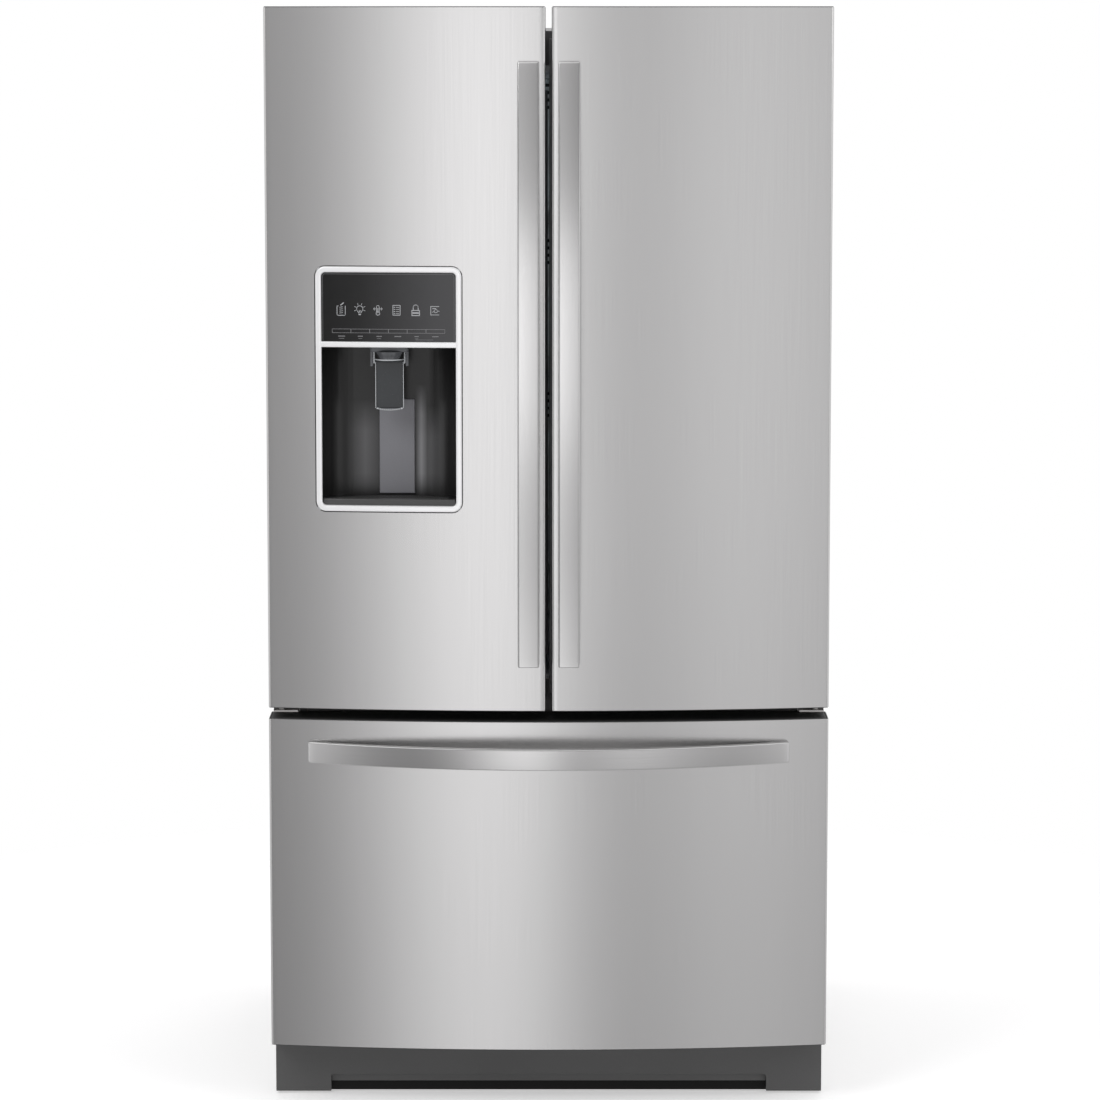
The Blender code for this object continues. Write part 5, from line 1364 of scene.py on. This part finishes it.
def makeIceBin():
    # the ice bin's front with its grip and window, and the ice maker above it
    low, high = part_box("ice_bin")
    bm = bmesh.new()
    left, right = low.x + ice["inset"], high.x - ice["inset"]
    corner = (left, high.y - 0.001, low.z + 0.006)
    addBlock(bm, corner, (right, high.y + 0.004, high.z - 0.006), ice["edge"], 3)
    corner = (left, high.y + 0.001, high.z - 0.040)
    addBlock(bm, corner, (right, high.y + 0.008, high.z - 0.022), ice["edge"], 3)
    piece("iceBinFront", bm, "left_door", whiteTrim, smooth=50)
    window = bmesh.new()
    corner = (low.x + ice["windowSide"], high.y + 0.003, low.z + 0.040)
    addBlock(window, corner, (high.x - ice["windowSide"], high.y + 0.0052, high.z - 0.060), 0.0015, 3)
    piece("iceBinWindow", window, "left_door", frostClear, smooth=50)
    maker = bmesh.new()
    corner = (low.x + 0.012, low.y + 0.008, high.z + 0.010)
    addBlock(maker, corner, (high.x - 0.012, high.y - 0.020, high.z + 0.042), 0.004, 3)
    for i in range(ice["moulds"]):
        x = low.x + 0.040 + ice["mouldPitch"] * i
        corner = (x, low.y + 0.016, high.z + 0.040)
        addBlock(maker, corner, (x + ice["mouldWidth"], high.y - 0.030, high.z + 0.045), 0.002, 2)
    piece("iceMaker", maker, "left_door", softGrey, smooth=50)


for doorBody in binNames:
    makeBinTrims(doorBody)
makeDyke("left_door", "left_door_liner")
makeDyke("right_door", "right_door_liner")
makeMullionLip()
makeIceBin()
print("door insides made")

# freezer
basketLow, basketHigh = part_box("freezer_basket")
coverLow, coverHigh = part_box("evaporator_cover")


basket = {"rim": 0.006, "rimEdge": 0.0018, "ribs": 13, "ribHalf": 0.002, "ribInset": 0.030}
evaporator = {"ribs": 11, "ribHalf": 0.003, "ribInset": 0.040, "screw": 0.004}


def makeFreezer():
    # the basket's rim, divider and ribs, and the ribbed cover behind it
    bm = bmesh.new()
    low, high = basketLow, basketHigh
    under, over = high.z - 0.004, high.z + 0.002
    addBlock(bm, (low.x, low.y, under), (high.x, low.y + 0.010, over), basket["rimEdge"], 3)
    addBlock(bm, (low.x, high.y - 0.010, under), (high.x, high.y, over), basket["rimEdge"], 3)
    for x in (low.x, high.x - basket["rim"] * 2):
        addBlock(bm, (x, low.y, under), (x + basket["rim"] * 2, high.y, over), basket["rimEdge"], 3)
    inner = high.x - basket["ribInset"]
    corner = (-0.0015, low.y + 0.004, low.z + 0.004)
    addBlock(bm, corner, (0.0015, high.y - 0.004, high.z - 0.050), 0.0006, 2)
    for i in range(basket["ribs"]):
        x = -inner + 2 * inner * i / (basket["ribs"] - 1)
        left, right = x - basket["ribHalf"], x + basket["ribHalf"]
        bottom, top = low.z + 0.010, high.z - 0.020
        addBlock(bm, (left, high.y - 0.0060, bottom), (right, high.y - 0.0022, top), 0.0008, 2)
        addBlock(bm, (left, low.y + 0.0022, bottom), (right, low.y + 0.0050, top), 0.0008, 2)
    piece("basketRibs", bm, "freezer_drawer", whiteTrim, smooth=50)
    cover = bmesh.new()
    low, high = coverLow, coverHigh
    for i in range(evaporator["ribs"]):
        span = high.x - low.x - 2 * evaporator["ribInset"]
        x = low.x + evaporator["ribInset"] + span * i / (evaporator["ribs"] - 1)
        corner = (x - evaporator["ribHalf"], low.y - 0.0022, low.z + 0.012)
        addBlock(cover, corner, (x + evaporator["ribHalf"], low.y + 0.001, high.z - 0.065), 0.0012, 2)
    for x in (low.x + 0.014, high.x - 0.014):
        for z in (low.z + 0.016, high.z - 0.016):
            addScrew(cover, (x, low.y, z), evaporator["screw"], (0, -1, 0))
    piece("evaporatorRibs", cover, "cabinet", whiteTrim, smooth=40)


makeFreezer()
print("freezer inside made")

# hinges, base and back
hingeCover = {"edge": 0.007, "wall": 0.0022, "screw": 0.0045}


def makeHingeCover(end):
    # a thin cap over each top hinge, with a screw and a sunk pad
    low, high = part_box("hinge_cover_" + end)
    bm = bmesh.new()
    addBlock(bm, low, high)
    upper = [e for e in bm.edges if max(v.co.z for v in e.verts) > high.z - 1e-4]
    bmesh.ops.bevel(
        bm, geom=upper, offset=hingeCover["edge"], segments=5, profile=0.5, affect="EDGES", material=-1
    )
    under = [f for f in bm.faces if f.normal.z < -0.9]
    bmesh.ops.delete(bm, geom=under, context="FACES")
    bmesh.ops.solidify(bm, geom=bm.faces[:], thickness=hingeCover["wall"])
    replaced = ["hinge_cover_" + end]
    piece("hingeCap" + end.capitalize(), bm, "cabinet", darkPlastic, replaced, 50)
    details = bmesh.new()
    middle = (low.x + high.x) / 2
    addScrew(details, (middle, low.y + 0.078, high.z), hingeCover["screw"], (0, 0, 1))
    corner = (low.x + 0.012, low.y + 0.030, high.z - 0.0006)
    addBlock(details, corner, (high.x - 0.012, low.y + 0.060, high.z + 0.0008), 0.0007, 2)
    name = "hingeCapDetail" + end.capitalize()
    piece(name, details, "cabinet", blackPaintAndShade, smooth=40)


grille = {
    "thick": 0.003, "foot": 0.091, "step": 0.033, "round": 0.005, "lip": 0.019, "ribs": 3,
    "ribLow": 0.046
}


def makeGrille():
    # one pressed plate with a long notch, a lip behind the notch, and behind the lip a near-black sheet of
    # painted shade for the dark space under the cabinet
    low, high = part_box("base_grille")
    thick, step = grille["thick"], grille["step"]
    notch = high.x - grille["foot"]
    bm = bmesh.new()
    outline = [
        (low.x, low.z), (-notch, low.z), (-notch, step), (notch, step), (notch, low.z), (high.x, low.z),
        (high.x, high.z - 0.0002), (low.x, high.z - 0.0002),
    ]
    plate = bm.faces.new([bm.verts.new((x, low.y, z)) for x, z in outline])
    made = bmesh.ops.extrude_face_region(bm, geom=[plate])
    moved = [item for item in made["geom"] if isinstance(item, bmesh.types.BMVert)]
    bmesh.ops.translate(bm, vec=(0, thick, 0), verts=moved)
    corners = [
        e for e in bm.edges
        if abs(abs(e.verts[0].co.x) - notch) < 1e-5 and abs(e.verts[0].co.z - step) < 1e-5
        and abs(abs(e.verts[1].co.x) - notch) < 1e-5 and abs(e.verts[1].co.z - step) < 1e-5
        and abs(e.verts[0].co.x - e.verts[1].co.x) < 1e-5
    ]
    bmesh.ops.bevel(
        bm, geom=corners, offset=grille["round"], segments=4, profile=0.5, affect="EDGES", material=-1
    )
    bmesh.ops.recalc_face_normals(bm, faces=bm.faces)
    roundEdges(bm, bm.verts[:], 0.0006)
    addBlock(bm, (low.x, low.y + 0.0015, high.z - thick), (high.x, high.y, high.z - 0.0012), 0.0008, 2)
    for side in (-1, 1):
        outer = side * high.x
        inner = outer - side * thick
        corner = (min(inner, outer), low.y + 0.0015, low.z + 0.0003)
        addBlock(bm, corner, (max(inner, outer), high.y, high.z - 0.001), 0.0008, 2)
    addBlock(bm, (-notch, low.y + 0.009, grille["lip"]), (notch, low.y + 0.012, high.z - 0.004), 0.001, 2)
    for i in range(grille["ribs"]):
        level = grille["ribLow"] + 0.013 * i
        corner = (-notch + 0.03, low.y + 0.0025, level)
        addBlock(bm, corner, (notch - 0.03, low.y + 0.0045, level + 0.003), 0.0008, 2)
    piece("baseGrille", bm, "cabinet", grillePaint, ["base_grille"], 50)
    # painted shade: a near-black sheet where the dark space under the cabinet shows through the notch
    shade = bmesh.new()
    corner = (-notch - 0.008, low.y + 0.0125, 0.003)
    addBlock(shade, corner, (notch + 0.008, low.y + 0.0145, step), 0.0006, 2)
    piece("baseShade", shade, "cabinet", paintedShadeBlack)


back = {
    "screw": 0.004, "sunk": 0.0009, "pressingAt": 0.21, "pressingHalf": 0.15, "pressingLow": 0.62,
    "pressingHigh": 1.58
}
inlet = {"x": 0.361, "z": 0.278, "half": 0.031, "collar": 0.011, "spigot": 0.0065}


def makeBack():
    # screws, the two pressings in the sheet, the water inlet and a blank rating plate
    low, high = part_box("back_panel")
    coverBottom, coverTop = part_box("machine_cover")
    bm = bmesh.new()
    y = high.y
    for level in (low.z + 0.018, (low.z + high.z) / 2, high.z - 0.018):
        for x in (low.x + 0.016, -0.15, 0.15, high.x - 0.016):
            addScrew(bm, (x, y - back["sunk"], level), back["screw"], (0, 1, 0))
    for x in (coverBottom.x + 0.016, -0.15, 0.15, coverTop.x - 0.016):
        for level in (coverBottom.z + 0.014, coverTop.z - 0.014):
            addScrew(bm, (x, y - back["sunk"], level), back["screw"], (0, 1, 0))
    piece("backScrews", bm, "cabinet", zincPlate, smooth=40)
    pressed = bmesh.new()
    for x in (-back["pressingAt"], back["pressingAt"]):
        corner = (x - back["pressingHalf"], y - 0.0006, back["pressingLow"])
        far = (x + back["pressingHalf"], y + 0.0016, back["pressingHigh"])
        addBlock(pressed, corner, far, 0.0014, 3)
    piece("backPressing", pressed, "cabinet", cabinetPaint, smooth=50)
    valve = bmesh.new()
    corner = (inlet["x"] - inlet["half"], y - 0.0005, inlet["z"] - 0.028)
    addBlock(valve, corner, (inlet["x"] + inlet["half"], y + 0.006, inlet["z"] + 0.028), 0.002, 3)
    addRod(valve, (inlet["x"], y + 0.007, inlet["z"]), inlet["collar"], 0.006, "Y", 32)
    addRod(valve, (inlet["x"], y + 0.009, inlet["z"]), inlet["spigot"], 0.004, "Y", 24)
    piece("waterInlet", valve, "cabinet", softGrey, smooth=40)
    plate = bmesh.new()
    addBlock(plate, (-0.385, y - 0.0009, 1.615), (-0.285, y - 0.0001, 1.685), 0.0003, 1)
    piece("blankPlate", plate, "cabinet", zincPlate)


def makeBaseParts():
    bm = bmesh.new()
    for end in ("left", "right"):
        low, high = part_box("levelling_leg_" + end)
        centre = (low + high) / 2
        addRod(bm, (centre.x, centre.y, 0.0125), 0.0095, 0.005, "Z", 6)
        addRod(bm, (centre.x, centre.y, 0.0485), 0.009, 0.004, "Z", 6)
        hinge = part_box("hinge_top_" + end)
        for x, y in ((0.018, 0.060), (0.042, 0.060), (0.030, 0.080)):
            addScrew(bm, (hinge[0].x + x, hinge[0].y + y, hinge[0].z + 0.0315), 0.004, (0, 0, 1))
    piece("legNuts", bm, "cabinet", zincPlate)


makeHingeCover("left")
makeHingeCover("right")
makeGrille()
makeBack()
makeBaseParts()
print("hinges, base and back made")

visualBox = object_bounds()
boxes = {"cad": cadBox, "visual": visualBox}
{name: [list(corner) for corner in box] for name, box in boxes.items()}
